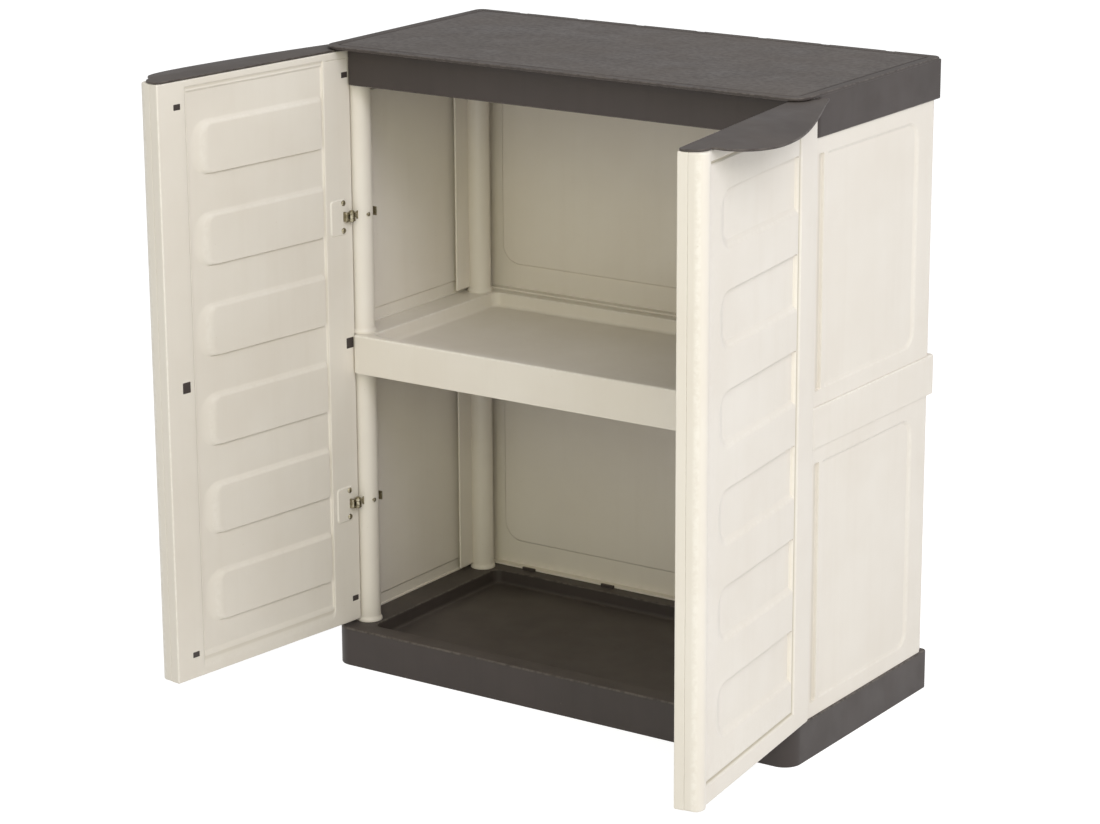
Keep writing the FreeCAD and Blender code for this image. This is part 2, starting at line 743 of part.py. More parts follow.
def add_cap(side, name):
    """Build the door's cap: a thin plate that bulges past the door and droops towards its rim."""
    length = float(free_edge - hinge_edge)
    pinch_at = float(S["cap_pinch_at"])
    pinch = float(S["cap_pinch"])
    end = length + float(S["cap_end_length"])
    end_low = float(S["cap_end_start"])
    end_high = end_low + float(S["cap_end_width"])
    end_round = float(S["cap_end_round"])
    rise = float(S["cap_bulge"]) - pinch
    samples = 12
    rim = []
    for step in range(samples + 1):
        share = step / samples
        along = pinch_at + (end - end_round - pinch_at) * share
        level = pinch + (end_high - pinch) * share
        rim.append(Vector(along, level + rise * math.sin(math.pi * share ** float(S["cap_skew"])), 0))
    bow = Part.BSplineCurve()
    bow.interpolate(rim)
    shoulder = Vector(0, float(S["cap_shoulder"]), 0)
    tip_middle = Vector(float(S["cap_tip_along"]), float(S["cap_tip_level"]), 0)
    tip = Part.Arc(rim[0], tip_middle, shoulder)
    nose_middle = Vector(float(S["cap_nose_along"]), float(S["cap_nose_level"]), 0)
    nose_end = Vector(float(S["cap_nose_length"]), 0, 0)
    nose = Part.Arc(shoulder, nose_middle, nose_end)
    heel = [
        nose_end,
        Vector(length, 0, 0),
        Vector(length, end_low, 0),
        Vector(end - end_round, end_low, 0),
    ]
    outer_end = Part.Arc(heel[-1], Vector(end, (end_low + end_high) / 2, 0), rim[-1])
    edges = [tip.toShape(), nose.toShape()]
    edges += [Part.LineSegment(a, b).toShape() for a, b in zip(heel, heel[1:])]
    edges += [outer_end.toShape(), bow.toShape()]
    outline = Part.Wire(Part.__sortEdges__(edges))
    depth = float(S["cap_plate"]) + float(S["cap_drop"])
    plan = Part.Face(outline).extrude(Vector(0, 0, depth))
    plate = float(S["cap_plate"])
    drop = float(S["cap_drop"])
    edge_of_door = float(bead_face - inner_face)
    far = float(S["cap_bulge"])
    section = Part.makePolygon([
        Vector(-far, -1, drop),
        Vector(-far, -1, depth),
        Vector(-far, edge_of_door, depth),
        Vector(-far, far, plate),
        Vector(-far, far, 0),
        Vector(-far, edge_of_door, drop),
        Vector(-far, -1, drop),
    ])
    droop = Part.Face(section).extrude(Vector(far + end + far, 0, 0))
    shape = plan.common(droop).Solids[0]
    turn = FreeCAD.Matrix()
    turn.A11 = side
    turn.A22 = -1
    turn.A14 = -side * float(free_edge)
    turn.A24 = -float(inner_face)
    turn.A34 = float(door_top) - drop
    shape = shape.transformGeometry(turn)
    cap = doc.addObject("Part::Feature", name)
    cap.Shape = shape
    hang(cap, side)
    return register(cap, name)


def add_snap_inserts(side, name):
    """Build the six dark inserts that fill the snap windows and hold the skins together."""
    body = new_body(name)
    sketch = new_sketch(body, f"{name}_plan", "XZ_Plane", inner_face + S["fit_gap"])
    for distance, height, half_wide, half_high in window_spots():
        left, right = across(side, distance - half_wide, distance + half_wide)
        draw_box(sketch, left, height - half_high, right, height + half_high)
    extrude(body, sketch, "Pad", S["insert_depth"])
    hang(body, side)
    return register(body, name)


def add_boxes(name, boxes):
    """Build boxes given by low corner and size, each a triple of sizes."""
    parts = []
    for number, (low, size) in enumerate(boxes):
        item = doc.addObject("Part::Box", f"{name}_block_{number}")
        for letter, value in zip("xyz", low):
            bind(item, f"Placement.Base.{letter}", value)
        for prop, value in zip(("Length", "Width", "Height"), size):
            bind(item, prop, value)
        parts.append(item)
    return parts


def add_tube(name, x, y, z, radius, height):
    """Build an upright cylinder from the sheet."""
    item = doc.addObject("Part::Cylinder", name)
    for letter, value in zip("xyz", (x, y, z)):
        bind(item, f"Placement.Base.{letter}", value)
    bind(item, "Radius", radius)
    bind(item, "Height", height)
    return item


def cut_and_register(name, parts, bores, finish):
    """Fuse parts, cut the bores out of them, and place and register the result."""
    solid = doc.addObject("Part::MultiFuse", f"{name}_solid")
    solid.Shapes = parts
    solid.Refine = True
    tools = doc.addObject("Part::MultiFuse", f"{name}_bores") if len(bores) > 1 else bores[0]
    if len(bores) > 1:
        tools.Shapes = bores
    result = doc.addObject("Part::Cut", name)
    result.Base = solid
    result.Tool = tools
    finish(result)
    return register(result, name)


def add_hinge(side, side_name, level_name, height):
    """Build one hinge: strap through the post, cross rivet, door leaf, pin and two screws."""
    name = f"hinge_{side_name}_{level_name}"
    metal = S["sheet_metal"]
    radius = S["knuckle_radius"]
    knuckle = S["knuckle_half_height"]
    play = S["fit_gap"]
    bore = S["pin_radius"] + S["pin_play"]
    strap_start = radius + play
    hook_at = front_post_y - axis_y + S["post_radius"] + play + metal
    strap_half = S["strap_half_height"]

    barrel = add_tube(f"{name}_strap_barrel", 0, 0, height - knuckle, radius, knuckle * 2)
    hook_low = -side * S["strap_hook_reach"]
    hook_x = hook_low if side > 0 else as_size(0)
    boxes = add_boxes(f"{name}_strap", [
        ((-metal / 2, radius / 2, height - knuckle), (metal, radius, knuckle * 2)),
        ((-metal / 2, strap_start, height - strap_half), (metal, hook_at - strap_start, strap_half * 2)),
        ((hook_x, hook_at - metal, height - strap_half), (S["strap_hook_reach"], metal, strap_half * 2)),
    ])
    hole = add_tube(f"{name}_strap_bore", 0, 0, height - knuckle * 2, bore, knuckle * 4)
    cut_and_register(f"{name}_strap", [barrel] + boxes, [hole],
                     lambda piece: place(piece, side * axis_x, axis_y, 0))

    rivet = doc.addObject("Part::Cylinder", f"{name}_rivet")
    bind(rivet, "Radius", S["rivet_radius"])
    rivet_from = axis_x - metal / 2 - play
    rivet_to = post_x - S["post_radius"] - S["rivet_proud"]
    bind(rivet, "Height", rivet_from - rivet_to)
    spot = (side * rivet_from, front_post_y - S["rivet_set_back"], height)
    rivet.Placement = Placement(Vector(*[float(v) for v in spot]), Rotation(Vector(0, -side, 0), 90))
    for letter, value in zip("xyz", spot):
        bind(rivet, f"Placement.Base.{letter}", value)
    register(rivet, f"{name}_rivet")

    half_high = S["hinge_half_height"]
    tab = half_high - knuckle - play
    arm_left, arm_right = across(side, arm_near, arm_far)
    tab_left, tab_right = across(side, S["pin_radius"], arm_far)
    leaf_left, leaf_right = across(side, arm_near, arm_near + S["leaf_width"])
    leaf_half = S["leaf_half_height"]
    arm_thickness = S["arm_thickness"]
    lower_z = height - half_high
    upper_z = height + knuckle + play
    parts = [
        add_tube(f"{name}_leaf_low_barrel", 0, 0, lower_z, radius, tab),
        add_tube(f"{name}_leaf_high_barrel", 0, 0, upper_z, radius, tab),
    ]
    parts += add_boxes(f"{name}_leaf", [
        ((tab_left, -arm_thickness / 2, lower_z), (tab_right - tab_left, arm_thickness, tab)),
        ((tab_left, -arm_thickness / 2, upper_z), (tab_right - tab_left, arm_thickness, tab)),
        ((arm_left, -(leaf_face + metal), lower_z),
         (arm_right - arm_left, leaf_face + metal + arm_thickness / 2, half_high * 2)),
        ((leaf_left, -(leaf_face + metal), height - leaf_half),
         (leaf_right - leaf_left, metal, leaf_half * 2)),
    ])
    bores = [add_tube(f"{name}_leaf_bore", 0, 0, height - half_high * 2, bore, half_high * 4)]
    for step in (-1, 1):
        drill = doc.addObject("Part::Cylinder", f"{name}_leaf_drill_{step + 1}")
        bind(drill, "Radius", S["screw_radius"] + S["pin_play"])
        bind(drill, "Height", outer_face)
        spot = (-side * screw_at, as_size(0), height + step * S["screw_spacing"] / 2)
        drill.Placement = Placement(Vector(*[float(v) for v in spot]), Rotation(Vector(1, 0, 0), 90))
        for letter, value in zip("xyz", spot):
            bind(drill, f"Placement.Base.{letter}", value)
        bores.append(drill)
    cut_and_register(f"{name}_leaf", parts, bores, lambda piece: hang(piece, side))

    pin = add_tube(f"{name}_pin", side * axis_x, axis_y, height - half_high, S["pin_radius"], half_high * 2)
    register(pin, f"{name}_pin")

    screws = []
    face = inner_face - S["pad_rise"]
    for step in (-1, 1):
        for part_name, radius_size, start, length in (
            ("head", S["screw_head_radius"], face - S["screw_head_height"], S["screw_head_height"]),
            ("shank", S["screw_radius"], face - S["screw_head_height"] / 2,
             S["pad_rise"] + S["door_wall"] * 2 + S["sheet_metal"] + S["screw_head_height"] / 2),
        ):
            item = doc.addObject("Part::Cylinder", f"{name}_screw_{part_name}_{step + 1}")
            bind(item, "Radius", radius_size)
            bind(item, "Height", length)
            spot = (-side * screw_at, -start, height + step * S["screw_spacing"] / 2)
            item.Placement = Placement(Vector(*[float(v) for v in spot]), Rotation(Vector(1, 0, 0), 90))
            for letter, value in zip("xyz", spot):
                bind(item, f"Placement.Base.{letter}", value)
            screws.append(item)
    pair = doc.addObject("Part::MultiFuse", f"{name}_screws")
    pair.Shapes = screws
    pair.Refine = True
    hang(pair, side)
    register(pair, f"{name}_screws")


for side_name, side in (("left", -1), ("right", 1)):
    add_inner_skin(side, f"door_{side_name}_inner_skin")
    add_outer_skin(side, f"door_{side_name}_outer_skin")
    add_cap(side, f"door_{side_name}_cap")
    add_snap_inserts(side, f"door_{side_name}_snap_inserts")
    for level_name, height in HINGES:
        add_hinge(side, side_name, level_name, height)

doc.recompute()
for item in doc.Objects:
    if "Invalid" in item.State or "Error" in item.State:
        raise ValueError(f"{item.Name} failed: {item.State}")
for piece in pieces:
    if piece.Shape.isNull() or not piece.Shape.isValid():
        raise ValueError(f"{piece.Label} has no valid shape")
os.makedirs("parts", exist_ok=True)
for piece in pieces:
    piece.Shape.exportStep(os.path.join("parts", f"{piece.Label}.step"))
    print(piece.Label, len(piece.Shape.Solids), round(piece.Shape.Volume / 1000, 1), "cm3")
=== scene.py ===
"""Looks of a two-storey garden storage cabinet with two doors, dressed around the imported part.

Lengths in the classes are millimetres. Everything that reaches Blender is in metres, with Z up and
the cabinet's front towards -Y.
"""

from __future__ import annotations

import logging
import math
from dataclasses import dataclass, field
from enum import Enum
from typing import Any, Iterable, Sequence, Union

import bmesh
import bpy
from mathutils import Matrix, Vector
from mathutils.geometry import tessellate_polygon

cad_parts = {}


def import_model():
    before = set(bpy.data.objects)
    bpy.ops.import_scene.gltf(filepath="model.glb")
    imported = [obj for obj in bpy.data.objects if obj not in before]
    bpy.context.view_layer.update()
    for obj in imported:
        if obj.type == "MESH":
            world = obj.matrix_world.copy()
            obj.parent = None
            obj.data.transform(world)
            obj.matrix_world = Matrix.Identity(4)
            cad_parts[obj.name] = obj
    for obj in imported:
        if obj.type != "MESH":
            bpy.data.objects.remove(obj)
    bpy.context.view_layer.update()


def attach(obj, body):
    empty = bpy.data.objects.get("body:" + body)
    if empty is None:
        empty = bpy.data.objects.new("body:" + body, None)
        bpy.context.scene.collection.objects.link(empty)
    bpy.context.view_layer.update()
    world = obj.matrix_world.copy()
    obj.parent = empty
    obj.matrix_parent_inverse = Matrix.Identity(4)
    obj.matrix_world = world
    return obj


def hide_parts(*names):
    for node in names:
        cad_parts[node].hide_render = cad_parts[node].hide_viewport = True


LOG = logging.getLogger("cabinet")
MM = 0.001  # metres in a millimetre
SMALLEST_RADIUS = 0.2  # below this an inset corner stays round, so that rings keep their points
STEP_SHARES = (0.1, 0.25, 0.42, 0.58, 0.75, 0.9, 1.0)  # where a soft step has its rings
STEP_WEAR = 0.5  # how rubbed the upper half of a soft step is
WELD = 1e-6  # metres within which a swept piece's points are one
WHITE = (1.0, 1.0, 1.0, 1.0)
Mesh = bpy.types.Mesh
Material = bpy.types.Material
Socket = bpy.types.NodeSocket
Pair = tuple[float, float]
Triple = tuple[float, float, float]
Quad = tuple[float, float, float, float]
Amounts = Union[float, tuple[float, ...]]
Ring = list[bmesh.types.BMVert]
WallRing = tuple[Amounts, float, float]


class Side(Enum):
    """Which half of the cabinet a piece belongs to, seen from the front."""

    LEFT = -1
    RIGHT = 1

    @property
    def word(self) -> str:
        """Return the side's name as the piece names spell it."""
        return self.name.lower()


class Storey(Enum):
    """The two storeys, with the heights of their floor and ceiling."""

    LOWER = (55.0, 417.0)
    UPPER = (471.0, 815.0)

    @property
    def word(self) -> str:
        """Return the storey's name as the piece names spell it."""
        return self.name.lower()


class Slot(Enum):
    """The finishes that the part's record names."""

    CREAM = "cream_resin"
    DARK = "dark_resin"
    STEEL = "hinge_steel"


class Body(Enum):
    """The bodies that pieces ride on."""

    CABINET = "cabinet"
    DOOR_LEFT = "door_left"
    DOOR_RIGHT = "door_right"


# Outlines and walls -------------------------------------------------------------------------


@dataclass(frozen=True)
class Outline:
    """A closed outline with rounded corners, counter-clockwise in its working plane.

    Attributes:
        corners: Each corner's two coordinates and its radius.
        steps: Number of straight pieces that draw one rounded corner.
    """

    corners: tuple[Triple, ...]
    steps: int = 6

    @classmethod
    def box(cls, left: float, low: float, right: float, top: float,
            radii: Sequence[float] = (0.5, 0.5, 0.5, 0.5), steps: int = 6) -> "Outline":
        """Return a rounded rectangle.

        Args:
            left: Lowest first coordinate.
            low: Lowest second coordinate.
            right: Highest first coordinate.
            top: Highest second coordinate.
            radii: Radii of the corners left-low, right-low, right-top and left-top.
            steps: Number of straight pieces for each corner.

        Returns:
            The outline.
        """
        spots = ((left, low), (right, low), (right, top), (left, top))
        return cls(tuple((a, b, r) for (a, b), r in zip(spots, radii)), steps)

    def ways(self) -> list[Vector]:
        """Return the direction of each side, from its corner to the next."""
        spots = [Vector(corner[:2]) for corner in self.corners]
        return [(spots[(i + 1) % len(spots)] - spots[i]).normalized() for i in range(len(spots))]

    def inset(self, amounts: Amounts) -> "Outline":
        """Return the outline moved inwards.

        Args:
            amounts: One distance for all sides, or one for each side. Side i starts at corner i.

        Returns:
            An outline with as many points, so that the two can be joined.
        """
        count = len(self.corners)
        sides = amounts if isinstance(amounts, tuple) else (amounts,) * count
        ways = self.ways()
        moved = []
        for index, (a, b, radius) in enumerate(self.corners):
            before, after = ways[index - 1], ways[index]
            sine = before.cross(after)
            spot = Vector((a, b)) - before * (sides[index] / sine) + after * (sides[index - 1] / sine)
            change = (sides[index - 1] + sides[index]) / 2
            rounded = radius - change if sine > 0 else radius + change
            moved.append((spot.x, spot.y, max(rounded, SMALLEST_RADIUS)))
        return Outline(tuple(moved), self.steps)

    def points(self) -> list[Pair]:
        """Return the outline's points, with every corner drawn as an arc.

        Returns:
            The points, corner by corner.
        """
        ways = self.ways()
        spots = []
        for index, (a, b, radius) in enumerate(self.corners):
            before, after = ways[index - 1], ways[index]
            turn = math.atan2(before.cross(after), before.dot(after))
            start = Vector((a, b)) - before * abs(radius * math.tan(turn / 2))
            arm = Vector((before.y, -before.x)) * math.copysign(radius, turn)
            centre = start - arm
            for step in range(self.steps + 1):
                spot = centre + Matrix.Rotation(turn * step / self.steps, 2) @ arm
                spots.append((spot.x, spot.y))
        return spots


def times(amounts: Amounts, share: float) -> Amounts:
    """Return one distance, or each of several, times a share."""
    if isinstance(amounts, tuple):
        return tuple(amount * share for amount in amounts)
    return amounts * share


def rounded_edge(radius: float, steps: int = 4) -> list[WallRing]:
    """Return the rings that round an outer edge, from its upright side to its face.

    Args:
        radius: Radius of the edge.
        steps: Number of rings.

    Returns:
        Each ring's inset, rise and wear.
    """
    rings = []
    for step in range(1, steps + 1):
        angle = math.pi / 2 * step / steps
        wear_and_shade = math.sin(2 * angle)
        rings.append((radius * (1 - math.cos(angle)), radius * math.sin(angle), wear_and_shade))
    return rings


def eased(height: float, widths: Amounts, start: float = 0.0) -> list[WallRing]:
    """Return the rings of a soft step from one level to another.

    Args:
        height: Rise of the step, negative where it sinks.
        widths: How far in the step ends from each side.
        start: Rise that the step begins from.

    Returns:
        Each ring's inset, rise and wear.
    """
    rings = []
    for share in STEP_SHARES:
        level = share * share * (3 - 2 * share)
        upper_half = share < 0.5 if height < 0 else share > 0.5
        wear_and_shade = STEP_WEAR * math.sin(math.pi * share) * upper_half
        rings.append((times(widths, share), start + height * level, wear_and_shade))
    return rings


def pocket(depth: float, lip: float, draft: float, heel: float) -> list[WallRing]:
    """Return the rings of a deep recess with a rounded lip and a rounded foot.

    Args:
        depth: Depth of the recess.
        lip: Radius of its upper edge.
        draft: How far the wall leans in.
        heel: Radius between wall and floor.

    Returns:
        Each ring's inset, rise and wear.
    """
    steps = 4
    rings = []
    for step in range(1, steps + 1):
        angle = math.pi / 2 * step / steps
        rings.append((lip * math.sin(angle), -lip * (1 - math.cos(angle)), math.sin(2 * angle)))
    for step in range(steps + 1):
        angle = math.pi / 2 * step / steps
        inset = lip + draft + heel * (1 - math.cos(angle))
        rings.append((inset, -(depth - heel) - heel * math.sin(angle), 0.0))
    return rings


@dataclass
class Relief:
    """A raised or sunken part of a face.

    Attributes:
        outline: Where it starts in the face around it.
        wall: Inset, rise and wear of each ring after the first; wear below 0 paints shade.
        parts: Reliefs in its own floor.
    """

    outline: Outline
    wall: list[WallRing]
    parts: list["Relief"] = field(default_factory=list)


class Shell:
    """Builds one closed mesh from rings of points in a working plane with a height axis."""

    def __init__(self, place: Matrix) -> None:
        """Start an empty mesh.

        Args:
            place: Turns the working coordinates into metres in the cabinet's frame.
        """
        self.mesh = bmesh.new()
        self.place = place
        self.wear_and_shade = self.mesh.verts.layers.float.new("wear_and_shade")

    def ring(self, points: Iterable[Pair], height: float, wear_and_shade: float = 0.0) -> Ring:
        """Add a ring of points at one height and return it.

        Args:
            points: Where they lie in the working plane.
            height: Their height.
            wear_and_shade: How rubbed they are, or below 0 how much painted shade they take.

        Returns:
            The ring.
        """
        ring = []
        for a, b in points:
            vertex = self.mesh.verts.new((a, b, height))
            vertex[self.wear_and_shade] = wear_and_shade
            ring.append(vertex)
        return ring

    def join(self, outer: Ring, inner: Ring, facing: int = 1) -> None:
        """Join two rings of as many points by a band of faces.

        Args:
            outer: The ring outside, or below.
            inner: The ring inside, or above.
            facing: 1 for faces that look along the height, -1 for the others.
        """
        for index in range(len(outer)):
            corners = [outer[index - 1], outer[index], inner[index], inner[index - 1]]
            self.mesh.faces.new(corners[::facing])

    def fill(self, ring: Ring, holes: Sequence[Ring] = (), facing: int = 1) -> None:
        """Close a ring with a flat face around its holes.

        Args:
            ring: The outer ring.
            holes: Rings that stay open inside it.
            facing: 1 for a face that looks along the height, -1 for the other way.
        """
        loops = [ring, *holes]
        vertices = [vertex for loop in loops for vertex in loop]
        for triple in tessellate_polygon([[vertex.co for vertex in loop] for loop in loops]):
            corners = [vertices[index] for index in triple]
            first, second, third = (corner.co.to_2d() for corner in corners)
            turn = (second - first).cross(third - first)
            if turn * facing < 0:
                corners.reverse()
            if self.mesh.faces.get(corners) is None:
                self.mesh.faces.new(corners)

    def relief(self, item: Relief, level: float, facing: int = 1) -> Ring:
        """Add a relief and everything in its floor.

        Args:
            item: The relief.
            level: Height of its first ring.
            facing: 1 where it looks along the height, -1 where it looks the other way.

        Returns:
            Its first ring, which is a hole in the face around it.
        """
        first = last = self.ring(item.outline.points(), level)
        height = level
        for amounts, rise, wear_and_shade in item.wall:
            height = level + rise * facing
            ring = self.ring(item.outline.inset(amounts).points(), height, wear_and_shade)
            self.join(last, ring, facing)
            last = ring
        holes = [self.relief(part, height, facing) for part in item.parts]
        self.fill(last, holes, facing)
        return first

    def slab(self, front: Relief, top: float, back: Relief, bottom: float) -> None:
        """Add a closed slab between two reliefs with the same outline.

        Args:
            front: The face that looks along the height.
            top: Height of its first ring.
            back: The face on the other side.
            bottom: Height of its first ring.
        """
        upper = self.relief(front, top)
        lower = self.relief(back, bottom, -1)
        self.join(lower, upper)

    def block(self, outline: Outline, low: float, high: float, edge: float = 0.6) -> None:
        """Add a plain block with rounded edges between two heights."""
        wall = rounded_edge(edge, 3)
        self.slab(Relief(outline, wall), high - edge, Relief(outline, wall), low + edge)

    def turned(self, profile: Sequence[Pair], spot: Pair = (0.0, 0.0),
               segments: int = 32) -> None:
        """Add a piece turned about the height axis.

        Args:
            profile: Radius and height of each ring, from its foot to its top.
            spot: Where the axis stands in the working plane.
            segments: Number of points round the axis.
        """
        rings = []
        for radius, height in profile:
            turns = [2 * math.pi * step / segments for step in range(segments)]
            circle = [(spot[0] + radius * math.cos(t), spot[1] + radius * math.sin(t)) for t in turns]
            rings.append(self.ring(circle, height))
        for lower, upper in zip(rings, rings[1:]):
            self.join(lower, upper)
        self.fill(rings[-1])
        self.fill(rings[0], (), -1)

    def slice(self, axis: int, values: Iterable[float]) -> None:
        """Cut every face along planes across one working axis, so that it can bend there.

        Args:
            axis: Number of that axis.
            values: Where the planes stand on it.
        """
        for value in values:
            spot, normal = [0.0, 0.0, 0.0], [0.0, 0.0, 0.0]
            spot[axis], normal[axis] = value, 1.0
            everything = [*self.mesh.verts, *self.mesh.edges, *self.mesh.faces]
            bmesh.ops.bisect_plane(self.mesh, geom=everything, dist=1e-4, plane_co=spot, plane_no=normal)

    def mesh_data(self, name: str) -> Mesh:
        """Return the finished mesh in metres, with its faces outwards and its shading soft.

        Args:
            name: Name of the mesh.

        Returns:
            The mesh, with the wear of its edges and the painted shade of its creases as an attribute.
        """
        bmesh.ops.remove_doubles(self.mesh, verts=self.mesh.verts, dist=1e-3)
        bmesh.ops.dissolve_degenerate(self.mesh, edges=self.mesh.edges, dist=1e-4)
        bmesh.ops.transform(self.mesh, matrix=self.place, verts=self.mesh.verts)
        if self.place.determinant() < 0:
            bmesh.ops.reverse_faces(self.mesh, faces=self.mesh.faces)
        data = bpy.data.meshes.new(name)
        self.mesh.to_mesh(data)
        self.mesh.free()
        return data


def merged(name: str, parts: Sequence[Mesh]) -> Mesh:
    """Return one mesh made of several finished ones, which it takes the place of.

    Args:
        name: Name of the new mesh.
        parts: The finished ones.

    Returns:
        The new mesh.
    """
    whole = bmesh.new()
    for part in parts:
        whole.from_mesh(part)
        bpy.data.meshes.remove(part)
    data = bpy.data.meshes.new(name)
    whole.to_mesh(data)
    whole.free()
    return data


def joined(name: str, shells: Sequence[Shell]) -> Mesh:
    """Return one mesh made of several shells."""
    return merged(name, [shell.mesh_data(f"{name}_{number}") for number, shell in enumerate(shells)])


@dataclass
class Piece:
    """One finished object of the cabinet and what it stands for.

    Attributes:
        name: Name of the object.
        data: Its mesh, in metres.
        material: Its finish.
        slot: The record's finish. It is not used.
        body: The body it rides on.
        nodes: The CAD nodes that it replaces.
        crease: Angle in degrees past which an edge stays sharp.
    """

    name: str
    data: Mesh
    material: Material
    slot: Slot
    body: Body
    nodes: tuple[str, ...] = ()
    crease: float = 38.0

    def add(self) -> bpy.types.Object:
        """Link the piece, bake its soft shading and fasten it to its body.

        Returns:
            The object.
        """
        self.data.name = self.name
        self.data.materials.clear()
        self.data.materials.append(self.material)
        self.data.shade_smooth()
        self.data.set_sharp_from_angle(angle=math.radians(self.crease))
        thing = bpy.data.objects.new(self.name, self.data)
        bpy.context.scene.collection.objects.link(thing)
        shading = thing.modifiers.new("shading", "WEIGHTED_NORMAL")
        shading.keep_sharp = True
        graph = bpy.context.evaluated_depsgraph_get()
        baked = bpy.data.meshes.new_from_object(thing.evaluated_get(graph))
        thing.modifiers.clear()
        thing.data = baked
        baked.name = self.name
        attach(thing, self.body.value)
        if self.nodes:
            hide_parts(*self.nodes)
        LOG.info("%s: %d faces on %s", self.name, len(baked.polygons), self.body.value)
        return thing


# Finishes -----------------------------------------------------------------------------------


class Graph:
    """Adds nodes and links to one node tree."""

    def __init__(self, tree: bpy.types.NodeTree) -> None:
        """Start with an empty tree."""
        self.tree = tree
        tree.nodes.clear()

    def add(self, kind: str, inputs: dict[Any, Any] | None = None, **settings: Any) -> bpy.types.Node:
        """Add a node.

        Args:
            kind: Blender's name of the node type.
            inputs: Values or output sockets for its inputs, by name or number.
            settings: Its own properties.

        Returns:
            The node.
        """
        made = self.tree.nodes.new(kind)
        for key, value in settings.items():
            setattr(made, key, value)
        for key, value in (inputs or {}).items():
            if isinstance(value, Socket):
                self.tree.links.new(value, made.inputs[key])
            else:
                made.inputs[key].default_value = value
        return made

    def maths(self, operation: str, first: Any, second: Any) -> Socket:
        """Add a sum of two numbers or sockets and return its result."""
        return self.add("ShaderNodeMath", {0: first, 1: second}, operation=operation).outputs[0]

    def between(self, value: Any, low: float, high: float, to_low: float = 0.0,
                to_high: float = 1.0) -> Socket:
        """Map a value from one range to another, held at its ends."""
        limits = {0: value, 1: low, 2: high, 3: to_low, 4: to_high}
        return self.add("ShaderNodeMapRange", limits, clamp=True).outputs[0]

    def noise(self, where: Any, scale: float, detail: float = 2.0, roughness: float = 0.5) -> Socket:
        """Add a noise pattern and return its value."""
        inputs = {"Vector": where, "Scale": scale, "Detail": detail, "Roughness": roughness}
        return self.add("ShaderNodeTexNoise", inputs).outputs["Fac"]

    def stretched(self, where: Any, scale: Triple, turn: Triple = (0.0, 0.0, 0.0)) -> Socket:
        """Stretch and turn the coordinates of a pattern."""
        return self.add("ShaderNodeMapping", {"Vector": where, "Scale": scale, "Rotation": turn}).outputs[0]

    def tint(self, amount: Any, first: Any, second: Any, mode: str = "MIX") -> Socket:
        """Mix two colours and return the result."""
        inputs = {0: amount, 6: first, 7: second}
        return self.add("ShaderNodeMix", inputs, data_type="RGBA", blend_type=mode).outputs[2]


def rgba(colour: Sequence[float]) -> Quad:
    """Turn a colour written as screen values from 0 to 255 into the linear one with alpha.

    Args:
        colour: Red, green and blue.

    Returns:
        The linear colour, with alpha 1.
    """
    def linear(value: float) -> float:
        """Return one channel's linear value."""
        share = value / 255
        return share / 12.92 if share <= 0.04045 else ((share + 0.055) / 1.055) ** 2.4
    red, green, blue = (linear(value) for value in colour)
    return red, green, blue, 1.0


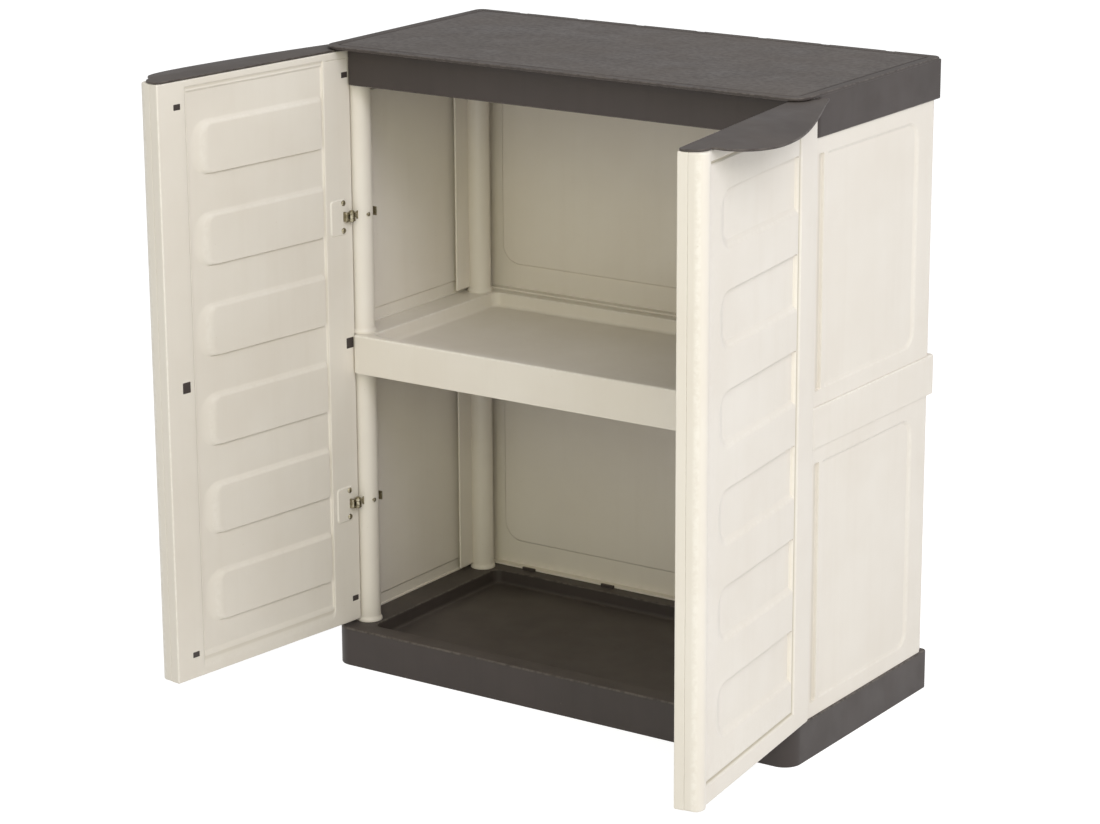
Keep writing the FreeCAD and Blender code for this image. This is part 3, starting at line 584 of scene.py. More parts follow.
@dataclass(frozen=True)
class Resin:
    """Moulded outdoor resin: cloudy colour, fine mould grain, dust on top (on the dark resin also painted top
    light), rubbed edges and painted shade in its creases.

    The scales of its patterns are in repeats to the metre.

    Attributes:
        name: Name of the material.
        colour: Main colour, as screen values.
        cloud: Colour of its slow variation.
        dust: Colour of the dust on surfaces that face up, which on the dark resin also paints them lighter as
            if lit from above.
        rub: Colour of its rubbed edges.
        crease: Colour of the painted shade in its creases.
        roughness: Middle roughness.
        shine: Strength of its reflections.
        grain: Strength of the mould grain.
        rubbed: Share of the rub colour on a worn edge.
        dusty: Share of the dust colour on top, which on the dark resin is also painted top light.
        flow: Scales of the faint streaks that the melt leaves, across, along and up.
        scuff: Scales of the fine scratches.
        scuff_turn: How the scratches lean, in radians.
        hollow_scale: Scale of the slow waviness of a wide wall.
        peel_scale: Scale of the coarse mould grain.
        fine_scale: Scale of the fine mould grain.
    """

    name: str
    colour: Triple
    cloud: Triple
    dust: Triple
    rub: Triple
    crease: Triple
    roughness: float
    shine: float
    grain: float
    rubbed: float
    dusty: float
    cloud_scale: float = 7.0
    flow: Triple = (48.0, 48.0, 2.4)
    dust_scale: float = 9.0
    rub_scale: float = 130.0
    speck_scale: float = 75.0
    scuff: Triple = (700.0, 700.0, 9.0)
    scuff_turn: Triple = (0.35, 0.5, 0.0)
    sheen_scale: float = 22.0
    hollow_scale: float = 5.5
    peel_scale: float = 240.0
    fine_scale: float = 1500.0

    def base_colour(self, graph: Graph, where: Socket) -> Socket:
        """Return the clean resin's colour, with its clouds and the melt's faint streaks.

        Args:
            graph: Nodes of the material.
            where: Coordinates of the pattern.

        Returns:
            The colour.
        """
        clouds = graph.between(graph.noise(where, self.cloud_scale, 4.0, 0.55), 0.35, 0.68)
        colour = graph.tint(clouds, rgba(self.colour), rgba(self.cloud))
        streaks = graph.noise(graph.stretched(where, self.flow), 1.0, 3.0, 0.6)
        streaked = graph.between(streaks, 0.5, 0.8, 0.0, 0.08)
        return graph.tint(streaked, colour, rgba(self.cloud), "MULTIPLY")

    def settled(self, graph: Graph, where: Socket) -> Socket:
        """Return how much dust has settled, most on faces that look up; on the dark resin it is also painted
        top light.
        """
        facing = graph.add("ShaderNodeNewGeometry").outputs["Normal"]
        upward = graph.add("ShaderNodeSeparateXYZ", {0: facing}).outputs["Z"]
        patches = graph.between(graph.noise(where, self.dust_scale, 4.0, 0.5), 0.2, 0.7)
        return graph.maths("MULTIPLY", graph.between(upward, 0.55, 0.95, 0.0, self.dusty), patches)

    def worn(self, graph: Graph, where: Socket, wear_and_shade: Socket) -> Socket:
        """Return how rubbed the surface is, broken up along each edge."""
        patches = graph.between(graph.noise(where, self.rub_scale, 4.0, 0.6), 0.38, 0.6)
        edges = graph.maths("MULTIPLY", graph.between(wear_and_shade, 0.0, 1.0), patches)
        return graph.maths("MULTIPLY", edges, self.rubbed)

    def specks(self, graph: Graph, where: Socket) -> Socket:
        """Return the share of dust colour in small specks, one in every few cells."""
        cells = graph.add("ShaderNodeTexVoronoi", {"Vector": where, "Scale": self.speck_scale})
        near = graph.between(cells.outputs["Distance"], 0.03, 0.075, 1.0, 0.0)
        chance = graph.add("ShaderNodeSeparateColor", {0: cells.outputs["Color"]}).outputs[0]
        return graph.maths("MULTIPLY", near, graph.between(chance, 0.86, 0.9, 0.0, 0.35))

    def scuffed(self, graph: Graph, where: Socket) -> Socket:
        """Return where fine scratches run."""
        scuffs = graph.noise(graph.stretched(where, self.scuff, self.scuff_turn), 1.0, 2.0, 0.7)
        return graph.between(scuffs, 0.69, 0.78)

    def bump(self, graph: Graph, where: Socket, scuffed: Socket) -> Socket:
        """Return the normal with the wall's slow waviness, the mould's grain and the scratches.

        Args:
            graph: Nodes of the material.
            where: Coordinates of the pattern.
            scuffed: Where scratches run.

        Returns:
            The normal.
        """
        slow = graph.noise(where, self.hollow_scale, 1.0)
        hollow = graph.add("ShaderNodeBump", {"Height": slow, "Strength": 0.2, "Distance": 0.003})
        peel = graph.maths("MULTIPLY", graph.noise(where, self.peel_scale, 2.0), 0.6)
        fine = graph.maths("MULTIPLY", graph.noise(where, self.fine_scale, 2.0), 0.4)
        height = graph.maths("ADD", peel, fine)
        height = graph.maths("SUBTRACT", height, graph.maths("MULTIPLY", scuffed, 0.3))
        inputs = {"Height": height, "Strength": self.grain, "Distance": 0.0002, "Normal": hollow.outputs[0]}
        return graph.add("ShaderNodeBump", inputs).outputs[0]

    def material(self) -> Material:
        """Build the material.

        Returns:
            A material whose pattern follows the object's own coordinates.
        """
        made = bpy.data.materials.new(self.name)
        made.use_nodes = True
        graph = Graph(made.node_tree)
        where = graph.add("ShaderNodeTexCoord").outputs["Object"]
        wear_and_shade = graph.add("ShaderNodeAttribute", attribute_name="wear_and_shade").outputs["Fac"]
        settled = self.settled(graph, where)
        worn = self.worn(graph, where, wear_and_shade)
        scuffed = self.scuffed(graph, where)

        # Dust on faces that look up, which on the dark resin is also painted light from above.
        colour = graph.tint(settled, self.base_colour(graph, where), rgba(self.dust))
        colour = graph.tint(worn, colour, rgba(self.rub))
        # Wear below 0 mixes in the crease colour: painted shade in creases and grooves.
        colour = graph.tint(graph.between(wear_and_shade, 0.0, -1.0), colour, rgba(self.crease))
        colour = graph.tint(self.specks(graph, where), colour, rgba(self.dust))

        dull, bright = self.roughness + 0.06, self.roughness - 0.05
        sheen = graph.between(graph.noise(where, self.sheen_scale, 3.0), 0.3, 0.7, bright, dull)
        sheen = graph.maths("ADD", sheen, graph.maths("MULTIPLY", settled, 0.5))
        sheen = graph.maths("SUBTRACT", sheen, graph.maths("MULTIPLY", worn, 0.15))
        sheen = graph.maths("ADD", sheen, graph.maths("MULTIPLY", scuffed, 0.1))

        surface = graph.add("ShaderNodeBsdfPrincipled", {
            "Base Color": colour, "Roughness": sheen, "IOR": 1.49, "Specular IOR Level": self.shine,
            "Normal": self.bump(graph, where, scuffed)})
        graph.add("ShaderNodeOutputMaterial", {"Surface": surface.outputs[0]})
        return made


@dataclass(frozen=True)
class PlatedSteel:
    """Zinc-plated steel sheet: drawn lines, cloudy plating and dull spots.

    Attributes:
        name: Name of the material.
        colour: Main colour, as screen values.
        dull: Colour of its dull spots.
        roughness: Middle roughness.
        cloud_scale: Scale of its dull spots, in repeats to the metre.
        drawn: Scales of the lines that drawing the sheet leaves, across, along and up.
    """

    name: str
    colour: Triple
    dull: Triple
    roughness: float = 0.26
    cloud_scale: float = 160.0
    drawn: Triple = (2600.0, 2600.0, 160.0)

    def material(self) -> Material:
        """Build the material.

        Returns:
            A metal whose pattern follows the object's own coordinates.
        """
        made = bpy.data.materials.new(self.name)
        made.use_nodes = True
        graph = Graph(made.node_tree)
        where = graph.add("ShaderNodeTexCoord").outputs["Object"]
        cloud = graph.between(graph.noise(where, self.cloud_scale, 5.0, 0.6), 0.4, 0.62)
        colour = graph.tint(cloud, rgba(self.colour), rgba(self.dull))
        lines = graph.noise(graph.stretched(where, self.drawn), 1.0, 3.0, 0.6)
        sheen = graph.between(lines, 0.3, 0.7, self.roughness - 0.08, self.roughness + 0.12)
        sheen = graph.maths("ADD", sheen, graph.maths("MULTIPLY", cloud, 0.12))
        bump = graph.add("ShaderNodeBump", {"Height": lines, "Strength": 0.25, "Distance": 0.0001})
        surface = graph.add("ShaderNodeBsdfPrincipled", {
            "Base Color": colour, "Metallic": 1.0, "Roughness": sheen, "Normal": bump.outputs[0]})
        graph.add("ShaderNodeOutputMaterial", {"Surface": surface.outputs[0]})
        return made


@dataclass
class Palette:
    """The cabinet's materials, each built once."""

    cream: Material
    dark: Material
    steel: Material

    @classmethod
    def mixed(cls) -> "Palette":
        """Build the three finishes.

        Returns:
            The palette.
        """
        # The crease colours are painted shade for creases and grooves.
        cream = Resin(
            "cream_resin_moulded", colour=(230, 224, 215), cloud=(226, 219, 209), dust=(198, 188, 166),
            rub=(243, 239, 232), crease=(186, 177, 158), roughness=0.42, shine=0.5, grain=0.2,
            rubbed=0.5, dusty=0.1)
        # The dark resin's large dust share also paints its top faces lighter, as if lit from above.
        dark = Resin(
            "dark_resin_moulded", colour=(71, 64, 62), cloud=(66, 60, 58), dust=(116, 109, 103),
            rub=(118, 111, 105), crease=(40, 36, 34), roughness=0.46, shine=0.3, grain=0.15,
            rubbed=0.6, dusty=0.42)
        steel = PlatedSteel("hinge_steel_plated", colour=(186, 178, 156), dull=(132, 124, 100))
        return cls(cream.material(), dark.material(), steel.material())


# Shapes that repeat or follow a rule ----------------------------------------------------------


class Recipe:
    """A Geometry Nodes tree with named sizes that ends in real, painted mesh."""

    def __init__(self, name: str) -> None:
        """Start a tree with one geometry input and one output.

        Args:
            name: Name of the tree.
        """
        self.tree = bpy.data.node_groups.new(name, "GeometryNodeTree")
        self.graph = Graph(self.tree)
        self.tree.interface.new_socket("Geometry", in_out="INPUT", socket_type="NodeSocketGeometry")
        self.tree.interface.new_socket("Geometry", in_out="OUTPUT", socket_type="NodeSocketGeometry")
        self.entry = self.graph.add("NodeGroupInput")
        self.values: dict[str, float | int] = {}

    def size(self, name: str, value: float | int) -> Socket:
        """Add a named input and return the socket that carries it."""
        kind = "NodeSocketInt" if isinstance(value, int) else "NodeSocketFloat"
        socket = self.tree.interface.new_socket(name, in_out="INPUT", socket_type=kind)
        self.values[socket.identifier] = value
        return self.entry.outputs[name]

    def vector(self, x: Any = 0.0, y: Any = 0.0, z: Any = 0.0) -> Socket:
        """Combine three numbers or sockets into a vector."""
        return self.graph.add("ShaderNodeCombineXYZ", {0: x, 1: y, 2: z}).outputs[0]

    def line(self, start: Any, end: Any) -> Socket:
        """Return a straight curve between two points."""
        return self.graph.add("GeometryNodeCurvePrimitiveLine", {"Start": start, "End": end}).outputs[0]

    def circle(self, radius: Any, count: int) -> Socket:
        """Return a circle drawn with a count of points."""
        inputs = {"Resolution": count, "Radius": radius}
        return self.graph.add("GeometryNodeCurvePrimitiveCircle", inputs).outputs[0]

    def oblong(self, width: Any, height: Any, corner: Any, count: int) -> Socket:
        """Return a rectangle with rounded corners, each drawn with a count of points."""
        inputs = {"Width": width, "Height": height}
        plain = self.graph.add("GeometryNodeCurvePrimitiveQuadrilateral", inputs).outputs[0]
        inputs = {"Curve": plain, "Radius": corner, "Count": count}
        return self.graph.add("GeometryNodeFilletCurve", inputs, mode="POLY").outputs[0]

    def dome(self, radius: Any, squash: Any, segments: int, rings: int) -> Socket:
        """Return a ball that is squashed into a rivet's or a screw's round head."""
        inputs = {"Segments": segments, "Rings": rings, "Radius": radius}
        ball = self.graph.add("GeometryNodeMeshUVSphere", inputs).outputs[0]
        return self.graph.add("GeometryNodeTransform", {"Geometry": ball, "Scale": squash}).outputs[0]

    def swept(self, path: Socket, profile: Socket, flared: bool = False) -> Socket:
        """Sweep a profile along a path and close its ends.

        Args:
            path: The curve to follow.
            profile: The closed outline.
            flared: Whether the path's own radius widens the profile.

        Returns:
            The swept mesh.
        """
        inputs = {"Curve": path, "Profile Curve": profile, "Fill Caps": True}
        made = self.graph.add("GeometryNodeCurveToMesh", inputs)
        if flared and "Scale" in made.inputs:
            radius = self.graph.add("GeometryNodeInputRadius").outputs[0]
            self.tree.links.new(radius, made.inputs["Scale"])
        return made.outputs[0]

    def copies(self, points: Socket, thing: Socket) -> Socket:
        """Put a copy of a thing on each point."""
        inputs = {"Points": points, "Instance": thing}
        return self.graph.add("GeometryNodeInstanceOnPoints", inputs).outputs[0]

    def row(self, count: Any, start: Any, offset: Any) -> Socket:
        """Return a straight row of points."""
        inputs = {"Count": count, "Start Location": start, "Offset": offset}
        return self.graph.add("GeometryNodeMeshLine", inputs).outputs[0]

    def together(self, *parts: Socket) -> Socket:
        """Join several geometries."""
        join = self.graph.add("GeometryNodeJoinGeometry")
        for part in parts:
            self.tree.links.new(part, join.inputs[0])
        return join.outputs[0]

    def made(self, result: Socket, material: Material, place: Matrix) -> Mesh:
        """Run the tree and return its mesh in place.

        Args:
            result: The geometry that leaves the tree.
            material: The finish to set.
            place: Turns the tree's millimetres into metres in the cabinet's frame.

        Returns:
            A plain mesh with its faces outwards.
        """
        real = self.graph.add("GeometryNodeRealizeInstances", {0: result}).outputs[0]
        inputs = {"Geometry": real, "Material": material}
        painted = self.graph.add("GeometryNodeSetMaterial", inputs).outputs[0]
        self.graph.add("NodeGroupOutput", {0: painted})
        name = self.tree.name
        holder = bpy.data.objects.new(name, bpy.data.meshes.new(name))
        bpy.context.scene.collection.objects.link(holder)
        modifier = holder.modifiers.new(name, "NODES")
        modifier.node_group = self.tree
        for identifier, value in self.values.items():
            modifier[identifier] = value
        graph = bpy.context.evaluated_depsgraph_get()
        data = bpy.data.meshes.new_from_object(holder.evaluated_get(graph))
        holder.modifiers.clear()
        bpy.data.objects.remove(holder)
        whole = bmesh.new()
        whole.from_mesh(data)
        bmesh.ops.transform(whole, matrix=place, verts=whole.verts)
        bmesh.ops.remove_doubles(whole, verts=whole.verts, dist=WELD)
        bmesh.ops.recalc_face_normals(whole, faces=whole.faces)
        whole.to_mesh(data)
        whole.free()
        return data


def upright(x: float = 0.0, y: float = 0.0, z: float = 0.0) -> Matrix:
    """Return the placement of a plan in millimetres, with its height axis up."""
    return Matrix.Scale(MM, 4) @ Matrix.Translation((x, y, z))


def standing(side: Side, x: float) -> Matrix:
    """Return the placement of an upright side face: across is Y, up is Z, height is outwards.

    Args:
        side: Which side of the cabinet.
        x: How far out the working plane stands.

    Returns:
        The placement, mirrored for the left side.
    """
    turn = Matrix(((0, 0, side.value, side.value * x), (1, 0, 0, 0), (0, 1, 0, 0), (0, 0, 0, 1)))
    return Matrix.Scale(MM, 4) @ turn


def rear_facing(y: float) -> Matrix:
    """Return the placement of an upright rear face: across is -X, up is Z, height is +Y."""
    turn = Matrix(((-1, 0, 0, 0), (0, 0, 1, y), (0, 1, 0, 0), (0, 0, 0, 1)))
    return Matrix.Scale(MM, 4) @ turn


# The cabinet's pieces -------------------------------------------------------------------------


@dataclass(frozen=True)
class Plan:
    """Sizes in plan that the trays, the lid, the posts and the walls share."""

    half_width: float = 367.5
    half_depth: float = 183.0
    front_corner: float = 24.0
    rear_corner: float = 5.0
    body_front: float = -160.0  # front of the shelf and of the lid's skirt, between the doors
    step_corner: float = 5.0
    corner_side: float = 342.5  # where that front steps back beside a door's hinge edge
    corner_rear: float = -149.8  # how far back it steps
    clear_corner: float = 18.0  # radius that lets the door swing past
    post_x: float = 343.0
    post_front: float = -134.3
    post_rear: float = 141.0
    post_radius: float = 16.0
    cell_x: float = 321.5  # how far out the middle hollows under a tray reach
    cell_front: float = -157.0
    cell_rear: float = 180.0
    side_cell: Quad = (324.5, -115.3, 364.5, 122.0)  # left, front, right, rear
    cell_corner: float = 2.0
    rib: float = 2.0  # half the thickness of the ribs between the hollows

    def footprint(self) -> Outline:
        """Return the full outline of the base and of the lid's plate."""
        radii = (self.front_corner, self.front_corner, self.rear_corner, self.rear_corner)
        return Outline.box(-self.half_width, -self.half_depth, self.half_width, self.half_depth, radii, 10)

    def carcass(self) -> Outline:
        """Return the outline of the shelf and the lid's skirt, cut back for the doors.

        Returns:
            The outline as seen from above.
        """
        half = [
            (self.corner_side, self.body_front, self.step_corner),
            (self.corner_side, self.corner_rear, 1.0),
            (self.half_width, self.corner_rear, self.clear_corner),
            (self.half_width, self.half_depth, self.rear_corner),
        ]
        return Outline(tuple(half + [(-x, y, r) for x, y, r in reversed(half)]), 8)

    def cells(self, depth: float, side_depth: float, ribbed: bool) -> list[Relief]:
        """Return the hollows of a tray's underside.

        Args:
            depth: Depth of each hollow in the middle.
            side_depth: Depth of the hollow at each side.
            ribbed: Whether ribs on both centre lines divide the middle.

        Returns:
            The hollows, for a face that looks down.
        """
        boxes = []
        if ribbed:
            for low, high in ((self.cell_front, -self.rib), (self.rib, self.cell_rear)):
                boxes += [(depth, self.rib, low, self.cell_x, high),
                          (depth, -self.cell_x, low, -self.rib, high)]
        else:
            boxes.append((depth, -self.cell_x, self.cell_front, self.cell_x, self.cell_rear))
        left, low, right, high = self.side_cell
        boxes += [(side_depth, left, low, right, high), (side_depth, -right, low, -left, high)]
        cells = []
        for deep, *box in boxes:
            wall = [(0.4, -0.4, 0.5), (1.2, -deep + 1.0, 0.0), (2.2, -deep, 0.0)]
            cells.append(Relief(Outline.box(*box, (self.cell_corner,) * 4, 3), wall))
        return cells


@dataclass
class Tray:
    """A moulded tray: the base, or the middle shelf.

    Attributes:
        name: The node it stands for.
        outline: Its outline in plan.
        bottom: Height of its underside.
        height: Its height.
        recess: Left, front, right and rear of the recess.
        cell_depth: Depth of the hollows under its middle.
        side_depth: Depth of the hollows under its sides.
        material: Its finish.
        slot: The record's finish.
        edge: Radius of its upper edge.
        lower_edge: Radius of its lower edge.
        recess_depth: Depth of the recess.
        recess_corner: Radius of the recess in plan.
        lip_reach: How far the recess's rounded lip starts outside it.
        lip: Radius of that lip.
        draft: How far the recess's wall leans in.
        heel: Radius between that wall and the floor.
    """

    name: str
    outline: Outline
    bottom: float
    height: float
    recess: Quad
    cell_depth: float
    side_depth: float
    material: Material
    slot: Slot
    edge: float = 3.0
    lower_edge: float = 0.8
    recess_depth: float = 20.0
    recess_corner: float = 14.0
    lip_reach: float = 1.0
    lip: float = 2.2
    draft: float = 1.2
    heel: float = 4.5

    def add(self, plan: Plan, extra: Sequence[Mesh] = ()) -> None:
        """Build the tray and add it to the scene.

        Args:
            plan: The sizes in plan.
            extra: Meshes of small parts moulded on to it.
        """
        shell = Shell(upright())
        recess = Outline.box(*self.recess, (self.recess_corner,) * 4, 8).inset(-self.lip_reach)
        hollow = Relief(recess, pocket(self.recess_depth, self.lip, self.draft, self.heel))
        front = Relief(self.outline, rounded_edge(self.edge, 5), [hollow])
        cells = plan.cells(self.cell_depth, self.side_depth, True)
        back = Relief(self.outline, rounded_edge(self.lower_edge, 2), cells)
        shell.slab(front, self.bottom + self.height - self.edge, back, self.bottom + self.lower_edge)
        data = merged(self.name, [shell.mesh_data(self.name), *extra])
        Piece(f"{self.name}_moulding", data, self.material, self.slot, Body.CABINET, (self.name,)).add()


@dataclass
class TabRow:
    """The small tabs on the base tray that hold the back panel's lower edge."""

    count: int = 5
    spacing: float = 137.0
    width: float = 22.0
    thickness: float = 4.0
    corner: float = 1.2
    height: float = 4.0
    root: float = 0.5  # how far a tab reaches into the tray
    rear: float = 161.7
    level: float = 55.0

    def mesh(self, material: Material) -> Mesh:
        """Build the row with Geometry Nodes and return its mesh.

        Args:
            material: Finish of the tabs.

        Returns:
            The mesh, in metres.
        """
        recipe = Recipe("panel_tabs")
        width, thickness = recipe.size("Tab Width", self.width), recipe.size("Tab Thickness", self.thickness)
        height, root = recipe.size("Tab Height", self.height), recipe.size("Tab Root", self.root)
        spacing, count = recipe.size("Tab Spacing", self.spacing), recipe.size("Tab Count", self.count)
        corner = recipe.size("Tab Corner", self.corner)
        graph = recipe.graph
        foot = recipe.vector(z=graph.maths("MULTIPLY", root, -1.0))
        upwards = recipe.line(foot, recipe.vector(z=height))
        tab = recipe.swept(upwards, recipe.oblong(width, thickness, corner, 4))
        length = graph.maths("MULTIPLY", graph.maths("SUBTRACT", count, 1.0), spacing)
        start = recipe.vector(x=graph.maths("MULTIPLY", length, -0.5))
        result = recipe.copies(recipe.row(count, start, recipe.vector(x=spacing)), tab)
        return recipe.made(result, material, upright(0.0, self.rear - self.thickness / 2, self.level))


@dataclass
class Lid:
    """The lid: a top plate with a thin lip over a deep skirt that is hollow below."""

    material: Material
    skirt_bottom: float = 815.0
    plate_bottom: float = 866.0
    top: float = 870.0
    edge: float = 1.6
    lower_edge: float = 1.0
    skirt_edge: float = 1.4
    skirt_gap: float = 0.05  # how far the skirt lies inside the shelf's outline
    overlap: float = 0.4  # how far the skirt reaches into the plate
    roof: float = 1.0  # how much thicker the lid is in the middle than at its sides
    rear_corner: float = 12.0
    line_inset: float = 12.0
    line_width: float = 6.0
    line_depth: float = 1.3
    notch_count: int = 7
    notch_spacing: float = 97.0
    notch_half: float = 6.0
    notch_depth: float = 2.5
    notch_corner: float = 0.6
    mark_half: float = 9.0
    mark_front: float = -178.6
    mark_rear: float = -174.2
    mark_corner: float = 1.6

    def row(self, count: int) -> list[float]:
        """Return the middles of a row of marks that is as long as the row of notches."""
        spacing = self.notch_spacing * self.notch_count / count
        return [(number - (count - 1) / 2) * spacing for number in range(count)]

    def plate_outline(self, plan: Plan) -> Outline:
        """Return the plate's outline, notched along its rear edge.

        Args:
            plan: The cabinet's plan.

        Returns:
            The outline.
        """
        wide, deep, small = plan.half_width, plan.half_depth, self.notch_corner
        corners = [(-wide, -deep, plan.front_corner), (wide, -deep, plan.front_corner),
                   (wide, deep, self.rear_corner)]
        for middle in reversed(self.row(self.notch_count)):
            low, high = middle - self.notch_half, middle + self.notch_half
            cut = deep - self.notch_depth
            corners += [(high, deep, small), (high, cut, small), (low, cut, small), (low, deep, small)]
        corners.append((-wide, deep, self.rear_corner))
        return Outline(tuple(corners), 6)

    def plate(self, plan: Plan) -> Shell:
        """Return the top plate, with the line round its top and the marks along its front.

        Args:
            plan: The cabinet's plan.

        Returns:
            The finished shell.
        """
        width, depth = self.line_width, self.line_depth
        # The line's floor, with wear -1, takes painted shade.
        line = [(width * 0.2, -depth * 0.6, 0.3), (width * 0.4, -depth, -1.0), (width * 0.6, -depth, -1.0),
                (width * 0.8, -depth * 0.6, 0.0), (width, -0.2, 0.5)]
        parts = [Relief(plan.footprint().inset(self.line_inset), line)]
        for middle in self.row(2 * self.notch_count):
            box = Outline.box(middle - self.mark_half, self.mark_front, middle + self.mark_half,
                              self.mark_rear, (self.mark_corner,) * 4, 3)
            parts.append(Relief(box, [(0.4, -0.3, 1.0), (1.2, -0.9, 0.6), (1.6, -1.0, 0.4)]))
        outline = self.plate_outline(plan)
        plate = Shell(upright())
        plate.slab(Relief(outline, rounded_edge(self.edge, 4), parts), self.top - self.edge,
                   Relief(outline, rounded_edge(self.lower_edge, 3)), self.plate_bottom + self.lower_edge)
        return plate

    def skirt(self, plan: Plan) -> Shell:
        """Return the skirt with the hollows that open below.

        Args:
            plan: The cabinet's plan.

        Returns:
            The finished shell.
        """
        height = self.plate_bottom - self.skirt_bottom
        around = plan.carcass().inset(self.skirt_gap)
        cells = plan.cells(height - self.roof, height, False)
        below = Relief(around, rounded_edge(self.skirt_edge, 4), cells)
        skirt = Shell(upright())
        skirt.slab(Relief(around, []), self.plate_bottom + self.overlap, below,
                   self.skirt_bottom + self.skirt_edge)
        return skirt

    def add(self, plan: Plan) -> None:
        """Build the lid and add it to the scene."""
        data = joined("top_lid", [self.plate(plan), self.skirt(plan)])
        Piece("top_lid_moulding", data, self.material, Slot.DARK, Body.CABINET, ("top_lid",)).add()


@dataclass
class Post:
    """One tubular corner post with a flared foot, and a fin where it carries the back panel."""

    side: Side
    storey: Storey
    front: bool
    material: Material
    collar: float = 2.0
    collar_height: float = 7.0
    collar_edge: float = 1.5  # height of the foot's straight edge
    flare: float = 1.2
    flare_height: float = 8.0
    neck: float = 9.0  # length of the piece that the flare lies in
    fin_offset: float = 8.0  # from the post's middle outwards
    fin_thickness: float = 3.0
    fin_reach: float = 28.0
    fin_root: float = 0.8  # share of the post's radius at which the fin starts
    fin_gap: float = 0.2

    def tube(self, height: float, radius: float, place: Matrix) -> Mesh:
        """Sweep the tube with its foot and its top flare by Geometry Nodes.

        Args:
            height: Length of the post.
            radius: Its radius.
            place: Where it stands.

        Returns:
            Its mesh.
        """
        recipe = Recipe("post_tube")
        length, wide = recipe.size("Post Height", height), recipe.size("Post Radius", radius)
        collar = recipe.size("Collar Width", self.collar)
        collar_height = recipe.size("Collar Height", self.collar_height)
        flare = recipe.size("Top Flare", self.flare)
        graph = recipe.graph
        neck = graph.maths("SUBTRACT", length, self.neck)
        flare_start = graph.maths("SUBTRACT", length, self.flare_height)
        circle = recipe.circle(1.0, 48)
        swept = []
        for start, end, count in ((0.0, collar_height, 14), (collar_height, neck, 2), (neck, length, 10)):
            line = recipe.line(recipe.vector(z=start), recipe.vector(z=end))
            line = graph.add("GeometryNodeResampleCurve", {"Curve": line, "Count": count}).outputs[0]
            spot = graph.add("GeometryNodeInputPosition").outputs[0]
            level = graph.add("ShaderNodeSeparateXYZ", {0: spot}).outputs[2]
            foot = {0: level, 1: self.collar_edge, 2: collar_height, 3: collar, 4: 0.0}
            foot = graph.add("ShaderNodeMapRange", foot, interpolation_type="SMOOTHSTEP").outputs[0]
            head = {0: level, 1: flare_start, 2: length, 3: 0.0, 4: flare}
            head = graph.add("ShaderNodeMapRange", head, interpolation_type="SMOOTHSTEP").outputs[0]
            total = graph.maths("ADD", wide, graph.maths("ADD", foot, head))
            line = graph.add("GeometryNodeSetCurveRadius", {"Curve": line, "Radius": total}).outputs[0]
            swept.append(recipe.swept(line, circle, flared=True))
        return recipe.made(recipe.together(*swept), self.material, place)

    def fin(self, spot: Pair, low: float, high: float, radius: float) -> Shell:
        """Return the fin of a rear post, which the back panel bears on.

        Args:
            spot: Where the post stands.
            low: Foot of the post.
            high: Top of the post.
            radius: Radius of its tube.

        Returns:
            The finished shell.
        """
        inner = self.side.value * self.fin_offset
        outer = self.side.value * (self.fin_offset + self.fin_thickness)
        left, right = min(inner, outer), max(inner, outer)
        box = Outline.box(left, -radius - self.fin_reach, right, -radius * self.fin_root, (1.2,) * 4, 4)
        shell = Shell(upright(*spot))
        shell.block(box, low + self.collar_height, high - self.fin_gap, 0.8)
        return shell

    def add(self, plan: Plan) -> None:
        """Build the post and add it to the scene.

        Args:
            plan: The cabinet's plan.
        """
        bottom, top = self.storey.value
        x = self.side.value * plan.post_x
        y = plan.post_front if self.front else plan.post_rear
        place_word = "front" if self.front else "rear"
        name = f"post_{self.storey.word}_{place_word}_{self.side.word}"
        parts = [self.tube(top - bottom, plan.post_radius, upright(x, y, bottom))]
        if not self.front:
            parts.append(self.fin((x, y), bottom, top, plan.post_radius).mesh_data(name))
        data = merged(name, parts)
        Piece(f"{name}_tube", data, self.material, Slot.CREAM, Body.CABINET, (name,)).add()


